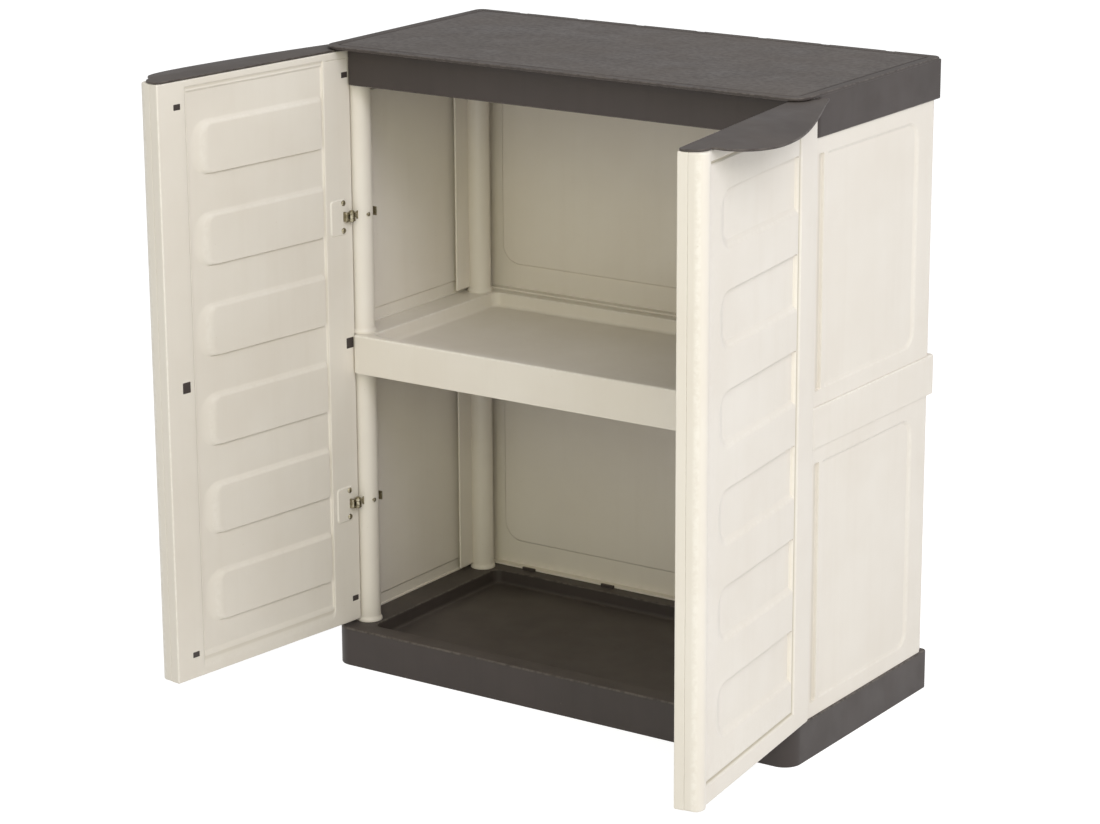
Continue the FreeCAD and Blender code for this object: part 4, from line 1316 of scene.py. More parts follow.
@dataclass
class WallPanels:
    """The side and back panels: thin pressed sheets with sunken fields."""

    material: Material
    face_x: float = 365.5
    front: float = -146.0
    rear: float = 165.0
    thickness: float = 4.0
    wall: float = 2.5  # thickness of the pressed sheet
    corner: float = 0.8
    edge: float = 0.8
    relief: float = 2.5
    field_slopes: Quad = (7.0, 11.0, 5.0, 3.2)  # lower side first, then round by the rear
    groove_relief: float = 4.5
    groove_slope: float = 1.8
    groove_shade: float = -0.35  # painted shade on the groove's floor, as a wear value below 0
    back_slope: float = 3.2
    field_bottom: float = 20.0
    field_corner: float = 26.0
    field_front_corner: float = 2.5
    groove: Pair = (-134.0, -119.0)
    groove_corner: float = 3.0
    field_y: Pair = (-111.5, 129.0)
    back_half: float = 361.2
    back_face: float = 175.0
    back_thickness: float = 13.0
    back_border: float = 40.0

    def rim(self, thickness: float) -> list[WallRing]:
        """Return the rings from a sheet's back edge round its turned-in rim to its back."""
        return [(0.2, 0.35, 0.5), (0.5, 0.5, 0.0), (self.wall - 0.4, 0.5, 0.0), (self.wall, 0.3, 0.3),
                (self.wall + 0.5, self.wall - thickness + 0.5, 0.0)]

    def sheet(self, name: str, place: Matrix, outline: Outline, fields: Sequence[Relief],
              thickness: float) -> None:
        """Build one panel, pressed on both faces, and add it to the scene.

        Args:
            name: The node it stands for.
            place: Placement of its outer face.
            outline: Its outline.
            fields: Its sunken fields.
            thickness: Depth of its turned-in rim.
        """
        raised = []
        for item in fields:
            behind = eased(-item.wall[-1][1], self.back_slope)
            raised.append(Relief(item.outline.inset(-self.wall - 0.4), behind))
        shell = Shell(place)
        shell.slab(Relief(outline, rounded_edge(self.edge, 3), list(fields)), -self.edge,
                   Relief(outline, self.rim(thickness), raised), 0.5 - thickness)
        data = shell.mesh_data(name)
        Piece(f"{name}_sheet", data, self.material, Slot.CREAM, Body.CABINET, (name,)).add()

    def side_fields(self, low: float, top: float) -> list[Relief]:
        """Return a side panel's field and groove, for a panel between two heights.

        Args:
            low: Its lower edge.
            top: Its upper edge.

        Returns:
            The field and the groove.
        """
        low, top = low + self.field_bottom, top - self.field_bottom
        front, rear = self.field_front_corner, self.field_corner
        field_box = Outline.box(self.field_y[0], low, self.field_y[1], top, (front, rear, rear, front), 8)
        groove_box = Outline.box(self.groove[0], low, self.groove[1], top, (self.groove_corner,) * 4, 4)
        groove_wall = eased(-self.groove_relief, self.groove_slope)
        inset, rise, _ = groove_wall[-1]
        # The groove's floor takes painted shade.
        groove_wall[-1] = (inset, rise, self.groove_shade)
        return [Relief(field_box, eased(-self.relief, self.field_slopes)), Relief(groove_box, groove_wall)]

    def back_field(self, low: float, top: float) -> Relief:
        """Return a back panel's field, for a panel between two heights."""
        border = self.back_border
        box = Outline.box(border - self.back_half, low + border, self.back_half - border, top - border,
                          (self.field_corner,) * 4, 8)
        return Relief(box, eased(-self.relief, self.field_slopes))

    def add(self) -> None:
        """Build the six panels."""
        for storey in Storey:
            low, top = storey.value
            for side in Side:
                outline = Outline.box(self.front, low, self.rear, top, (self.corner,) * 4, 3)
                self.sheet(f"side_panel_{storey.word}_{side.word}", standing(side, self.face_x), outline,
                           self.side_fields(low, top), self.thickness)
            outline = Outline.box(-self.back_half, low, self.back_half, top, (self.corner,) * 4, 3)
            self.sheet(f"back_panel_{storey.word}", rear_facing(self.back_face), outline,
                       [self.back_field(low, top)], self.back_thickness)


# Doors ----------------------------------------------------------------------------------------


@dataclass(frozen=True)
class DoorFrame:
    """Where a door hangs and how its own coordinates lie.

    A door's coordinates run across from the hinge axis towards the free edge, up, and out of the
    closed door's front.

    Attributes:
        side: Left or right door.
        axis: Hinge axis in plan, for the right door.
        opening: Angle the door stands open at rest, in degrees.
        free_edge: How far across the door reaches.
        inner_face: How far out its inner face lies.
        top: Height of its skins' top, where the cap lies.
        hinge_heights: Heights of its two hinges.
    """

    side: Side
    axis: Pair = (338.0, -161.5)
    opening: float = 97.0
    free_edge: float = 337.0
    inner_face: float = 6.5
    top: float = 862.0
    hinge_heights: Pair = (233.0, 637.0)

    @property
    def body(self) -> Body:
        """Return the body that the door's pieces ride on."""
        return Body.DOOR_LEFT if self.side is Side.LEFT else Body.DOOR_RIGHT

    @property
    def word(self) -> str:
        """Return the door's side as the piece names spell it."""
        return self.side.word

    def matrix(self, columns: Sequence[Vector], start: Vector) -> Matrix:
        """Return a placement from three directions in door coordinates and a start point.

        Args:
            columns: Directions of the two working axes and the height axis, as across, up and out.
            start: Origin of the working plane, as across, up and out.

        Returns:
            The placement in metres.
        """
        angle = math.radians(self.opening)
        mirror = self.side.value
        across = Vector((-math.cos(angle) * mirror, -math.sin(angle), 0.0))
        out = Vector((math.sin(angle) * mirror, -math.cos(angle), 0.0))
        up = Vector((0.0, 0.0, 1.0))

        def world(way: Vector) -> Vector:
            """Return a door direction in the cabinet's frame."""
            return across * way.x + up * way.y + out * way.z

        spot = Vector((self.axis[0] * mirror, self.axis[1], 0.0)) + world(start)
        rows = [[world(column)[row] for column in columns] + [spot[row]] for row in range(3)]
        return Matrix.Scale(MM, 4) @ Matrix(rows + [[0.0, 0.0, 0.0, 1.0]])

    def facing(self, out: float, way: int) -> Matrix:
        """Return the placement of an upright face of the door that looks outwards or inwards."""
        return self.matrix((Vector((1, 0, 0)), Vector((0, 1, 0)), Vector((0, 0, way))), Vector((0, 0, out)))

    def lying(self, height: float) -> Matrix:
        """Return the placement of a plan of the door: across, out, and up as its height."""
        return self.matrix((Vector((1, 0, 0)), Vector((0, 0, 1)), Vector((0, 1, 0))), Vector((0, height, 0)))


@dataclass
class DoorSkins:
    """The two moulded skins of one door, with slats, grip bead, hinge pads and snap windows."""

    frame: DoorFrame
    palette: Palette
    hinge_edge: float = -8.0  # across from the hinge axis
    bottom: float = 60.0
    seam: float = 20.5  # how far out the two skins meet
    outer_face: float = 38.0
    stile: float = 50.0  # width of the plain strip at the hinge edge
    hinge_round: float = 9.0
    bead_width: float = 25.0
    bead_rise: float = 4.5
    inner_field: Quad = (41.0, 69.0, 291.0, 854.0)  # left, low, right, top
    # Rings with wear below 0 take painted shade in the stepped wall's crease.
    inner_wall: tuple[WallRing, ...] = (
        ((4.0, 0.7, 0.6, 0.5), -0.3, 0.4), ((9.0, 1.6, 1.4, 0.9), -1.0, 0.2),
        ((13.0, 2.4, 2.4, 1.2), -1.7, -0.3), ((16.0, 3.0, 4.0, 1.5), -1.75, -0.3),
        ((18.0, 3.6, 6.5, 1.8), -1.3, 0.3), ((21.0, 4.6, 8.0, 2.4), -2.3, 0.0),
        ((24.0, 6.0, 9.5, 3.0), -3.4, 0.0))
    outer_field: Quad = (0.0, 24.0, -2.5, 13.0)  # in from the stile, bottom, bead, top
    # Rings with wear below 0 take painted shade in the field's edge groove.
    outer_wall: tuple[WallRing, ...] = (
        ((0.8, 1.0, 0.8, 2.0), -0.5, 0.6), ((1.8, 2.0, 1.8, 4.0), -1.8, -0.3),
        ((3.0, 2.8, 3.0, 5.5), -2.7, -1.0), ((4.4, 3.6, 4.4, 6.6), -2.8, -1.0),
        ((5.8, 4.6, 5.8, 7.6), -1.9, 0.0), ((6.8, 5.6, 6.8, 8.4), -1.5, 0.3))
    slat_count: int = 6
    slat_height: float = 73.0
    slat_first: float = 127.5
    slat_pitch: float = 121.3
    slat_end: float = 281.0
    slat_round: float = 28.0
    slat_corner: float = 4.0
    inner_slat: tuple[float, float, Quad] = (3.8, 3.9, (2.0, 30.0, 8.5, 2.0))  # start, rise, slopes
    outer_slat: tuple[float, float, Quad] = (9.0, -5.0, (11.0, 22.0, 2.2, 3.0))
    top_line: Quad = (-4.0, 849.2, 37.5, 852.8)
    pad: Pair = (4.0, 35.0)  # left and right
    pad_height: float = 50.0
    pad_rise: float = 1.5
    slot: Triple = (7.7, 11.3, 6.8)  # left, right and half height of the slot for a leaf
    slot_depth: float = 9.0
    window_across: Pair = (2.0, 304.0)
    window_inset: float = 33.0
    window_middle: float = 460.0
    window_half: Pair = (6.0, 4.0)
    middle_half: Pair = (7.0, 7.5)
    window_depth: float = 4.5
    insert: Quad = (4.0, 0.3, 0.4, 0.8)  # depth, gap below the face, play, corners

    def add_skin(self, word: str, shell: Shell) -> None:
        """Add a finished skin to the scene.

        Args:
            word: Which skin it is.
            shell: Its shape.
        """
        name = f"door_{self.frame.word}_{word}_skin"
        data = shell.mesh_data(name)
        Piece(f"{name}_moulding", data, self.palette.cream, Slot.CREAM, self.frame.body, (name,)).add()

    def outline(self, radii: Sequence[float]) -> Outline:
        """Return the outline of a skin with the given corner radii."""
        return Outline.box(self.hinge_edge, self.bottom, self.frame.free_edge, self.frame.top, radii, 4)

    def slats(self, start: float, rise: float, slopes: Quad) -> list[Relief]:
        """Return the slats of one skin.

        Args:
            start: Where they start past the stile.
            rise: How far they stand out, or below 0 how far they are sunk.
            slopes: Widths of their slopes, from the lower one round by the free end.

        Returns:
            The slats from the lowest to the highest.
        """
        left = self.hinge_edge + self.stile + start
        radii = (self.slat_corner, self.slat_round, self.slat_round, self.slat_corner)
        made = []
        for number in range(self.slat_count):
            low = self.slat_first + number * self.slat_pitch
            outline = Outline.box(left, low, self.slat_end, low + self.slat_height, radii, 10)
            made.append(Relief(outline, eased(rise, slopes)))
        return made

    def paint_slat_shade(self, shell: Shell, level: float, low: float, high: float) -> None:
        """Paint shade in the crease along each slat's lower or upper edge.

        Args:
            shell: The skin.
            level: Height of the flat field, which stays unshaded.
            low: Lowest height of the crease above a slat's lower edge.
            high: Its highest.
        """
        below, end_room, flat, painted_shade = 5.0, 8.0, 0.05, -0.8
        start = self.hinge_edge + self.stile + end_room
        for vertex in shell.mesh.verts:
            above = (vertex.co.y - self.slat_first) % self.slat_pitch
            above -= self.slat_pitch if above > self.slat_pitch - below else 0.0
            within = start < vertex.co.x < self.slat_end - end_room
            if low < above < high and within and abs(vertex.co.z - level) > flat:
                # Painted shade: a dark line in the crease, as if shadowed.
                vertex[shell.wear_and_shade] = painted_shade

    def windows(self) -> list[Quad]:
        """Return the middle and half sizes of each snap window.

        Returns:
            Four numbers for each window.
        """
        spots = []
        for across in self.window_across:
            spots.append((across, self.bottom + self.window_inset, *self.window_half))
            spots.append((across, self.frame.top - self.window_inset, *self.window_half))
            spots.append((across, self.window_middle, *self.middle_half))
        return spots

    def hinge_pad(self, height: float) -> Relief:
        """Return the raised pad of one hinge, with the slot for its leaf.

        Args:
            height: Height of the hinge.

        Returns:
            The pad.
        """
        left, right, half = self.slot
        slot_box = Outline.box(left, height - half, right, height + half, (0.8,) * 4, 3)
        slot = Relief(slot_box, [(0.2, -self.slot_depth, 0.0)])
        low, top = height - self.pad_height / 2, height + self.pad_height / 2
        box = Outline.box(self.pad[0], low, self.pad[1], top, (4.0, 6.0, 6.0, 4.0), 6)
        return Relief(box, eased(self.pad_rise, (1.2, 3.0, 2.0, 0.6)), [slot])

    def add_inner(self) -> None:
        """Build the inner skin and add it to the scene."""
        field_box = Outline.box(*self.inner_field, (13.0, 3.0, 3.0, 3.0), 8)
        parts = [Relief(field_box, list(self.inner_wall), self.slats(*self.inner_slat))]
        line = Outline.box(*self.top_line, (1.6,) * 4, 4)
        # The line's floor takes painted shade.
        parts.append(Relief(line, [(0.7, -0.4, 0.2), (1.5, -0.7, -0.3)]))
        parts += [self.hinge_pad(height) for height in self.frame.hinge_heights]
        for across, height, wide, high in self.windows():
            opening = Outline.box(across - wide, height - high, across + wide, height + high, (1.0,) * 4, 3)
            parts.append(Relief(opening, [(0.15, -0.3, 0.6), (0.4, -self.window_depth, 0.0)]))
        outline = self.outline((2.0,) * 4)
        edge, back_edge = 2.0, 0.8
        shell = Shell(self.frame.facing(self.frame.inner_face, -1))
        shell.slab(Relief(outline, rounded_edge(edge, 5), parts), -edge,
                   Relief(outline, rounded_edge(back_edge, 2)), self.frame.inner_face - self.seam + back_edge)
        self.paint_slat_shade(shell, self.inner_wall[-1][1], 0.1, 1.3)
        self.add_skin("inner", shell)

    def bead_lift(self, across: float) -> float:
        """Return how far the outer skin stands above its face, or below it, on the round bead."""
        half = self.bead_width / 2
        away = min(abs(across - self.frame.free_edge + half), half)
        lift = self.bead_rise - half + math.sqrt(half * half - away * away)
        return lift if across > self.frame.free_edge - half else max(lift, 0.0)

    def bend(self, shell: Shell, edge: float) -> None:
        """Raise the round bead out of the outer skin and round its hinge edge.

        Args:
            shell: The skin, still flat.
            edge: Depth of its front edge's rounding. What lies deeper stays as it is.
        """
        half, turn = self.bead_width / 2, self.hinge_round
        free_edge, lowest = self.frame.free_edge, self.seam - self.outer_face + 2.0
        start = free_edge - math.sqrt(half * half - (half - self.bead_rise) ** 2) - half
        hinge_cuts = [1 - math.cos(math.radians(degrees)) for degrees in range(40, 91, 10)]
        bead_cuts = [1 - math.sin(math.radians(degrees)) for degrees in range(-40, 90, 8)]
        shell.slice(0, [self.hinge_edge + turn * cut for cut in hinge_cuts])
        shell.slice(0, [start - 0.6, start])
        shell.slice(0, [free_edge - half * cut for cut in bead_cuts])
        for vertex in shell.mesh.verts:
            if vertex.co.z < -edge - 1e-3:
                continue
            if vertex.co.x > start:
                vertex.co.z += self.bead_lift(vertex.co.x)
                vertex.co.z = max(vertex.co.z, lowest)
            away = min(vertex.co.x - self.hinge_edge - turn, 0.0)
            vertex.co.z -= turn - math.sqrt(max(turn * turn - away * away, 0.0))

    def add_outer(self) -> None:
        """Build the outer skin with its round grip bead and add it to the scene."""
        from_stile, from_bottom, from_bead, from_top = self.outer_field
        field_box = Outline.box(
            self.hinge_edge + self.stile + from_stile, self.bottom + from_bottom,
            self.frame.free_edge - self.bead_width - from_bead, self.frame.top - from_top, (2.5,) * 4, 4)
        parts = [Relief(field_box, list(self.outer_wall), self.slats(*self.outer_slat))]
        outline = self.outline((2.0, 3.0, 3.0, 2.0))
        edge, back_edge = 2.5, 0.8
        shell = Shell(self.frame.facing(self.outer_face, 1))
        shell.slab(Relief(outline, rounded_edge(edge, 4), parts), -edge,
                   Relief(outline, rounded_edge(back_edge, 2)), self.seam - self.outer_face + back_edge)
        self.bend(shell, edge)
        self.paint_slat_shade(shell, self.outer_wall[-1][1], self.slat_height - 2.1, self.slat_height - 0.1)
        self.add_skin("outer", shell)

    def add_inserts(self) -> None:
        """Put the six dark snap inserts in their windows with Geometry Nodes."""
        across, low_window = self.window_across[0], self.bottom + self.window_inset
        recipe = Recipe("snap_inserts")
        deep, under, loose, corner = self.insert
        depth, gap = recipe.size("Insert Depth", deep), recipe.size("Insert Gap", under)
        play, soft = recipe.size("Insert Play", loose), recipe.size("Insert Corner", corner)
        spread = recipe.size("Window Spread", self.window_across[1] - across)
        rise = recipe.size("Window Rise", self.frame.top - self.window_inset - low_window)
        middle = recipe.size("Middle Window Height", self.window_middle - low_window)
        graph = recipe.graph
        low = graph.maths("MULTIPLY", graph.maths("ADD", depth, gap), -1.0)
        high = graph.maths("MULTIPLY", gap, -1.0)
        path = recipe.line(recipe.vector(z=low), recipe.vector(z=high))
        blocks = []
        for word, half in (("End", self.window_half), ("Middle", self.middle_half)):
            width = graph.maths("SUBTRACT", recipe.size(f"{word} Window Width", half[0] * 2), play)
            height = graph.maths("SUBTRACT", recipe.size(f"{word} Window Height", half[1] * 2), play)
            blocks.append(recipe.swept(path, recipe.oblong(width, height, soft, 3)))
        ends = recipe.copies(recipe.row(2, recipe.vector(), recipe.vector(y=rise)), blocks[0])
        centre = recipe.copies(recipe.row(1, recipe.vector(y=middle), recipe.vector()), blocks[1])
        column = recipe.together(ends, centre)
        result = recipe.copies(recipe.row(2, recipe.vector(), recipe.vector(x=spread)), column)
        place = self.frame.facing(self.frame.inner_face, -1) @ Matrix.Translation((across, low_window, 0.0))
        data = recipe.made(result, self.palette.dark, place)
        name = f"door_{self.frame.word}_snap_inserts"
        Piece(f"{name}_set", data, self.palette.dark, Slot.DARK, self.frame.body, (name,)).add()

    def add(self) -> None:
        """Build both skins and the inserts."""
        self.add_inner()
        self.add_outer()
        self.add_inserts()


@dataclass
class DoorCap:
    """The dark cap on a door: a thin plate that bulges past the door and droops at its rim."""

    frame: DoorFrame
    material: Material
    length: float = 345.0
    bulge: float = 86.0  # width at its widest
    skew: float = 0.58  # below 1, the widest place lies nearer the free edge
    pinch: float = 33.0  # width where it narrows behind the bead
    pinch_at: float = 24.0
    end_length: float = 19.0  # how far the hinge end reaches past the back edge
    end_start: float = 28.5
    end_width: float = 9.0
    end_round: float = 5.0
    flat: float = 36.0
    drop: float = 7.0
    droop: float = 1.25  # power of the drooping curve
    rim: tuple[Triple, ...] = (  # inset, height and wear of each ring
        (1.0, 0.0, 0.0), (0.3, 0.25, 0.4), (0.0, 0.9, 0.3),
        (0.0, 2.0, 0.5), (0.35, 2.7, 1.0), (1.2, 3.0, 0.0))

    def plan(self) -> list[Pair]:
        """Return the cap's outline as distances from the free edge and from the inner face.

        Returns:
            The points, round the outline.
        """
        end = self.length + self.end_length
        tip_start, high = end - self.end_round, self.end_start + self.end_width
        samples = 72
        front = []
        for step in range(samples + 1):
            share = step / samples
            level = self.pinch + (high - self.pinch) * share
            level += (self.bulge - self.pinch) * math.sin(math.pi * share ** self.skew)
            front.append((self.pinch_at + (tip_start - self.pinch_at) * share, level))
        bead, third = self.pinch_at / 4, self.pinch / 3
        nose = arc_through(front[0], (bead, self.pinch * 0.8), (0.0, third), 10)
        back_nose = arc_through((0.0, third), (bead / 3, bead / 2), (bead * 1.5, 0.0), 8)
        corner = [(self.length - 1.0, 0.0), (self.length - 0.2, 0.3), (self.length, 1.2),
                  (self.length, self.end_start - 1.0), (self.length + 0.5, self.end_start)]
        tip = arc_through((tip_start, self.end_start), (end, (self.end_start + high) / 2), front[-1], 10)
        return [*nose[:-1], *back_nose, *corner, *tip[:-1], *reversed(front[1:])]

    def outline(self) -> list[Vector]:
        """Return the outline in door coordinates, counter-clockwise."""
        spots = [Vector((self.frame.free_edge - along, self.frame.inner_face + level))
                 for along, level in self.plan()]
        area = sum(a.cross(b) for a, b in zip(spots, spots[1:] + spots[:1]))
        return spots if area > 0 else spots[::-1]

    def bend(self, shell: Shell) -> None:
        """Let the cap droop from its flat part to its rim.

        Args:
            shell: The cap, still flat.
        """
        edge = self.frame.inner_face + self.flat
        start, reach = edge - 3.0, self.bulge - self.flat + 3.0
        shell.slice(1, [edge - 4.0 + step * 3.5 for step in range(16)])
        shell.slice(0, [self.frame.free_edge - (step + 1) * 20.0 for step in range(17)])
        for vertex in shell.mesh.verts:
            share = max(vertex.co.y - start, 0.0) / reach
            vertex.co.z -= self.drop * min(share, 1.0) ** self.droop

    def add(self) -> None:
        """Build the cap and add it to the scene."""
        name = f"door_{self.frame.word}_cap"
        spots = self.outline()
        inwards = []
        for index in range(len(spots)):
            way = (spots[(index + 1) % len(spots)] - spots[index - 1]).normalized()
            inwards.append(Vector((-way.y, way.x)))
        shell = Shell(self.frame.lying(self.frame.top))
        rings = []
        for inset, height, wear_and_shade in self.rim:
            moved = [spot + way * inset for spot, way in zip(spots, inwards)]
            rings.append(shell.ring([(spot.x, spot.y) for spot in moved], height, wear_and_shade))
        for lower, upper in zip(rings, rings[1:]):
            shell.join(lower, upper)
        shell.fill(rings[-1])
        shell.fill(rings[0], (), -1)
        self.bend(shell)
        data = shell.mesh_data(name)
        Piece(f"{name}_moulding", data, self.material, Slot.DARK, self.frame.body, (name,), 50.0).add()


def arc_through(first: Sequence[float], middle: Sequence[float], last: Sequence[float],
                steps: int) -> list[Pair]:
    """Return points on the circular arc through three points.

    Args:
        first: Where the arc starts.
        middle: A point on it.
        last: Where it ends.
        steps: Number of straight pieces.

    Returns:
        The points, first and last included.
    """
    (ax, ay), (bx, by), (cx, cy) = first, middle, last
    twice = 2 * (ax * (by - cy) + bx * (cy - ay) + cx * (ay - by))
    first_square, middle_square, last_square = ax * ax + ay * ay, bx * bx + by * by, cx * cx + cy * cy
    x = (first_square * (by - cy) + middle_square * (cy - ay) + last_square * (ay - by)) / twice
    y = (first_square * (cx - bx) + middle_square * (ax - cx) + last_square * (bx - ax)) / twice
    radius = math.hypot(ax - x, ay - y)
    start, end = math.atan2(ay - y, ax - x), math.atan2(cy - y, cx - x)
    pass_by = (math.atan2(by - y, bx - x) - start) % (2 * math.pi)
    turn = (end - start) % (2 * math.pi)
    if pass_by > turn:
        turn -= 2 * math.pi
    angles = [start + turn * step / steps for step in range(steps + 1)]
    return [(x + radius * math.cos(angle), y + radius * math.sin(angle)) for angle in angles]


# Hinges ---------------------------------------------------------------------------------------


@dataclass
class HingeSet:
    """The two steel hinges of one door: straps on the cabinet, leaves and screws on the door."""

    frame: DoorFrame
    plan: Plan
    material: Material
    knuckle: float = 5.0
    knuckle_half: float = 2.6
    hinge_half: float = 6.5
    pin: float = 2.5
    pin_reach: float = 0.5
    strap_half: float = 6.0
    neck: Triple = (2.0, 9.0, 12.0)  # start, start of widening and full width, back from the pin
    metal: float = 2.0
    hook: float = 8.0
    play: float = 0.3
    rivet: float = 2.0
    rivet_start: float = 17.0  # in from the post's middle
    rivet_gap: float = 1.1  # from its end to the pin's middle plane
    rivet_back: float = 5.0  # in front of the post's middle
    overhang: float = 0.9  # how much wider a head is than its shaft
    screw_at: float = 11.0
    screw_spacing: float = 38.0
    head_radius: float = 4.0
    head_height: float = 2.4
    pad_level: float = 5.0
    tab: Quad = (2.5, -1.5, 10.5, 1.5)  # left, inner side, right, outer side
    arm: Quad = (8.0, -1.5, 11.0, 11.8)

    def add_piece(self, name: str, data: Mesh, body: Body, node: str,
                  levels: Sequence[str]) -> None:
        """Add a finished piece of the hinges to the scene.

        Args:
            name: Its name after the door's side.
            data: Its mesh.
            body: The body it rides on.
            node: What the nodes it replaces are called after their hinge.
            levels: The hinges whose nodes it replaces.
        """
        start = f"hinge_{self.frame.word}"
        nodes = tuple(f"{start}_{level}_{node}" for level in levels)
        Piece(f"{start}_{name}", data, self.material, Slot.STEEL, body, nodes).add()

    def barrel(self, place: Matrix, low: float, high: float) -> Shell:
        """Return a rolled knuckle between two heights.

        Args:
            place: Where its axis stands.
            low: Its foot.
            high: Its top.

        Returns:
            The finished shell.
        """
        radius, edge, soft = self.knuckle, 0.5, 0.15
        shell = Shell(place)
        shell.turned([(radius - edge, low), (radius - soft, low + soft), (radius, low + edge),
                      (radius, high - edge), (radius - soft, high - soft), (radius - edge, high)])
        return shell

    def add_strap(self, level: str, height: float) -> None:
        """Build a strap with its knuckle and its hook, and add it to the cabinet.

        Args:
            level: Which hinge it belongs to.
            height: Height of that hinge.
        """
        side = self.frame.side
        x, y = self.frame.axis
        start, narrow_end, wide_start = (y + reach for reach in self.neck)
        end = self.plan.post_front + self.plan.post_radius + self.play + self.metal
        wide, narrow = self.strap_half, self.knuckle_half - self.play
        half = [(start, narrow, 0.5), (narrow_end, narrow, 2.0), (wide_start, wide, 2.0), (end, wide, 0.8)]
        lower = [(at, height - away, radius) for at, away, radius in half]
        upper = [(at, height + away, radius) for at, away, radius in reversed(half)]
        strap = Shell(standing(side, x))
        strap.block(Outline(tuple(lower + upper), 4), -self.metal / 2, self.metal / 2, 0.4)
        bend = Outline.box(end - self.metal, height - wide, end, height + wide, (0.5,) * 4, 3)
        hook = Shell(standing(side, x))
        hook.block(bend, -self.hook, self.metal / 2, 0.5)
        place = upright(side.value * x, y)
        barrel = self.barrel(place, height - self.knuckle_half, height + self.knuckle_half)
        data = joined(f"hinge_{side.word}_{level}_strap", [barrel, strap, hook])
        self.add_piece(f"{level}_strap_sheet", data, Body.CABINET, "strap", (level,))

    def add_leaf(self, level: str, height: float) -> None:
        """Build a door leaf with its two knuckles and goose-neck arm, and add it to the door.

        Args:
            level: Which hinge it belongs to.
            height: Height of that hinge.
        """
        place = self.frame.lying(0.0)
        gap, half = self.knuckle_half + self.play, self.hinge_half
        shells = []
        for low, high in ((height - half, height - gap), (height + gap, height + half)):
            tab = Shell(place)
            tab.block(Outline.box(*self.tab, (0.5,) * 4, 3), low + 0.1, high - 0.1, 0.4)
            shells += [self.barrel(place, low, high), tab]
        arm = Shell(place)
        arm.block(Outline.box(*self.arm, (0.8, 2.4, 0.8, 0.8), 6), height - half, height + half, 0.5)
        shells.append(arm)
        data = joined(f"hinge_{self.frame.word}_{level}_leaf", shells)
        self.add_piece(f"{level}_leaf_sheet", data, self.frame.body, "leaf", (level,))

    def add_pins(self) -> None:
        """Build the pins of both hinges with Geometry Nodes, on the cabinet."""
        x, y = self.frame.axis
        low_height, high_height = self.frame.hinge_heights
        recipe = Recipe("hinge_pins")
        radius = recipe.size("Pin Radius", self.pin)
        half = recipe.size("Pin Half Length", self.hinge_half + self.pin_reach)
        rise = recipe.size("Hinge Distance", high_height - low_height)
        graph = recipe.graph
        low, length = graph.maths("MULTIPLY", half, -1.0), graph.maths("MULTIPLY", half, 2.0)
        path = recipe.line(recipe.vector(z=low), recipe.vector(z=half))
        shaft = recipe.swept(path, recipe.circle(radius, 24))
        head = recipe.dome(graph.maths("ADD", radius, self.overhang), (1.0, 1.0, 0.4), 24, 12)
        heads = recipe.copies(recipe.row(2, recipe.vector(z=low), recipe.vector(z=length)), head)
        whole = recipe.together(shaft, heads)
        pins = recipe.copies(recipe.row(2, recipe.vector(), recipe.vector(z=rise)), whole)
        data = recipe.made(pins, self.material, upright(self.frame.side.value * x, y, low_height))
        self.add_piece("pins", data, Body.CABINET, "pin", ("lower", "upper"))

    def add_rivets(self) -> None:
        """Build the rivets that lock both straps in their post, with Geometry Nodes."""
        side = self.frame.side.value
        low_height, high_height = self.frame.hinge_heights
        start = self.plan.post_x - self.rivet_start
        recipe = Recipe("strap_rivets")
        radius = recipe.size("Rivet Radius", self.rivet)
        length = recipe.size("Rivet Length", self.frame.axis[0] - self.rivet_gap - start)
        rise = recipe.size("Hinge Distance", high_height - low_height)
        graph = recipe.graph
        path = recipe.line((0.0, 0.0, 0.0), recipe.vector(x=length))
        shaft = recipe.swept(path, recipe.circle(radius, 20))
        head = recipe.dome(graph.maths("ADD", radius, self.overhang), (0.45, 1.0, 1.0), 24, 12)
        whole = recipe.together(shaft, head)
        rivets = recipe.copies(recipe.row(2, recipe.vector(), recipe.vector(z=rise)), whole)
        place = upright(side * start, self.plan.post_front - self.rivet_back, low_height)
        data = recipe.made(rivets, self.material, place @ Matrix.Diagonal((side, 1.0, 1.0, 1.0)))
        self.add_piece("rivets", data, Body.CABINET, "rivet", ("lower", "upper"))

    def add_screws(self) -> None:
        """Put the four round-head screws on the door's hinge pads with Geometry Nodes."""
        low_height, high_height = self.frame.hinge_heights
        recipe = Recipe("hinge_screws")
        radius = recipe.size("Head Radius", self.head_radius)
        height = recipe.size("Head Height", self.head_height)
        spacing = recipe.size("Screw Spacing", self.screw_spacing)
        rise = recipe.size("Hinge Distance", high_height - low_height)
        graph = recipe.graph
        squash = recipe.vector(1.0, 1.0, graph.maths("DIVIDE", height, radius))
        start = recipe.vector(y=graph.maths("MULTIPLY", spacing, -0.5))
        head = recipe.dome(radius, squash, 28, 16)
        pair = recipe.copies(recipe.row(2, start, recipe.vector(y=spacing)), head)
        result = recipe.copies(recipe.row(2, recipe.vector(), recipe.vector(y=rise)), pair)
        place = self.frame.facing(self.pad_level, -1) @ Matrix.Translation((self.screw_at, low_height, 0.0))
        data = recipe.made(result, self.material, place)
        self.add_piece("screw_heads", data, self.frame.body, "screws", ("lower", "upper"))

    def add(self) -> None:
        """Build both hinges."""
        for level, height in zip(("lower", "upper"), self.frame.hinge_heights):
            self.add_strap(level, height)
            self.add_leaf(level, height)
        self.add_pins()
        self.add_rivets()
        self.add_screws()


# The room -------------------------------------------------------------------------------------


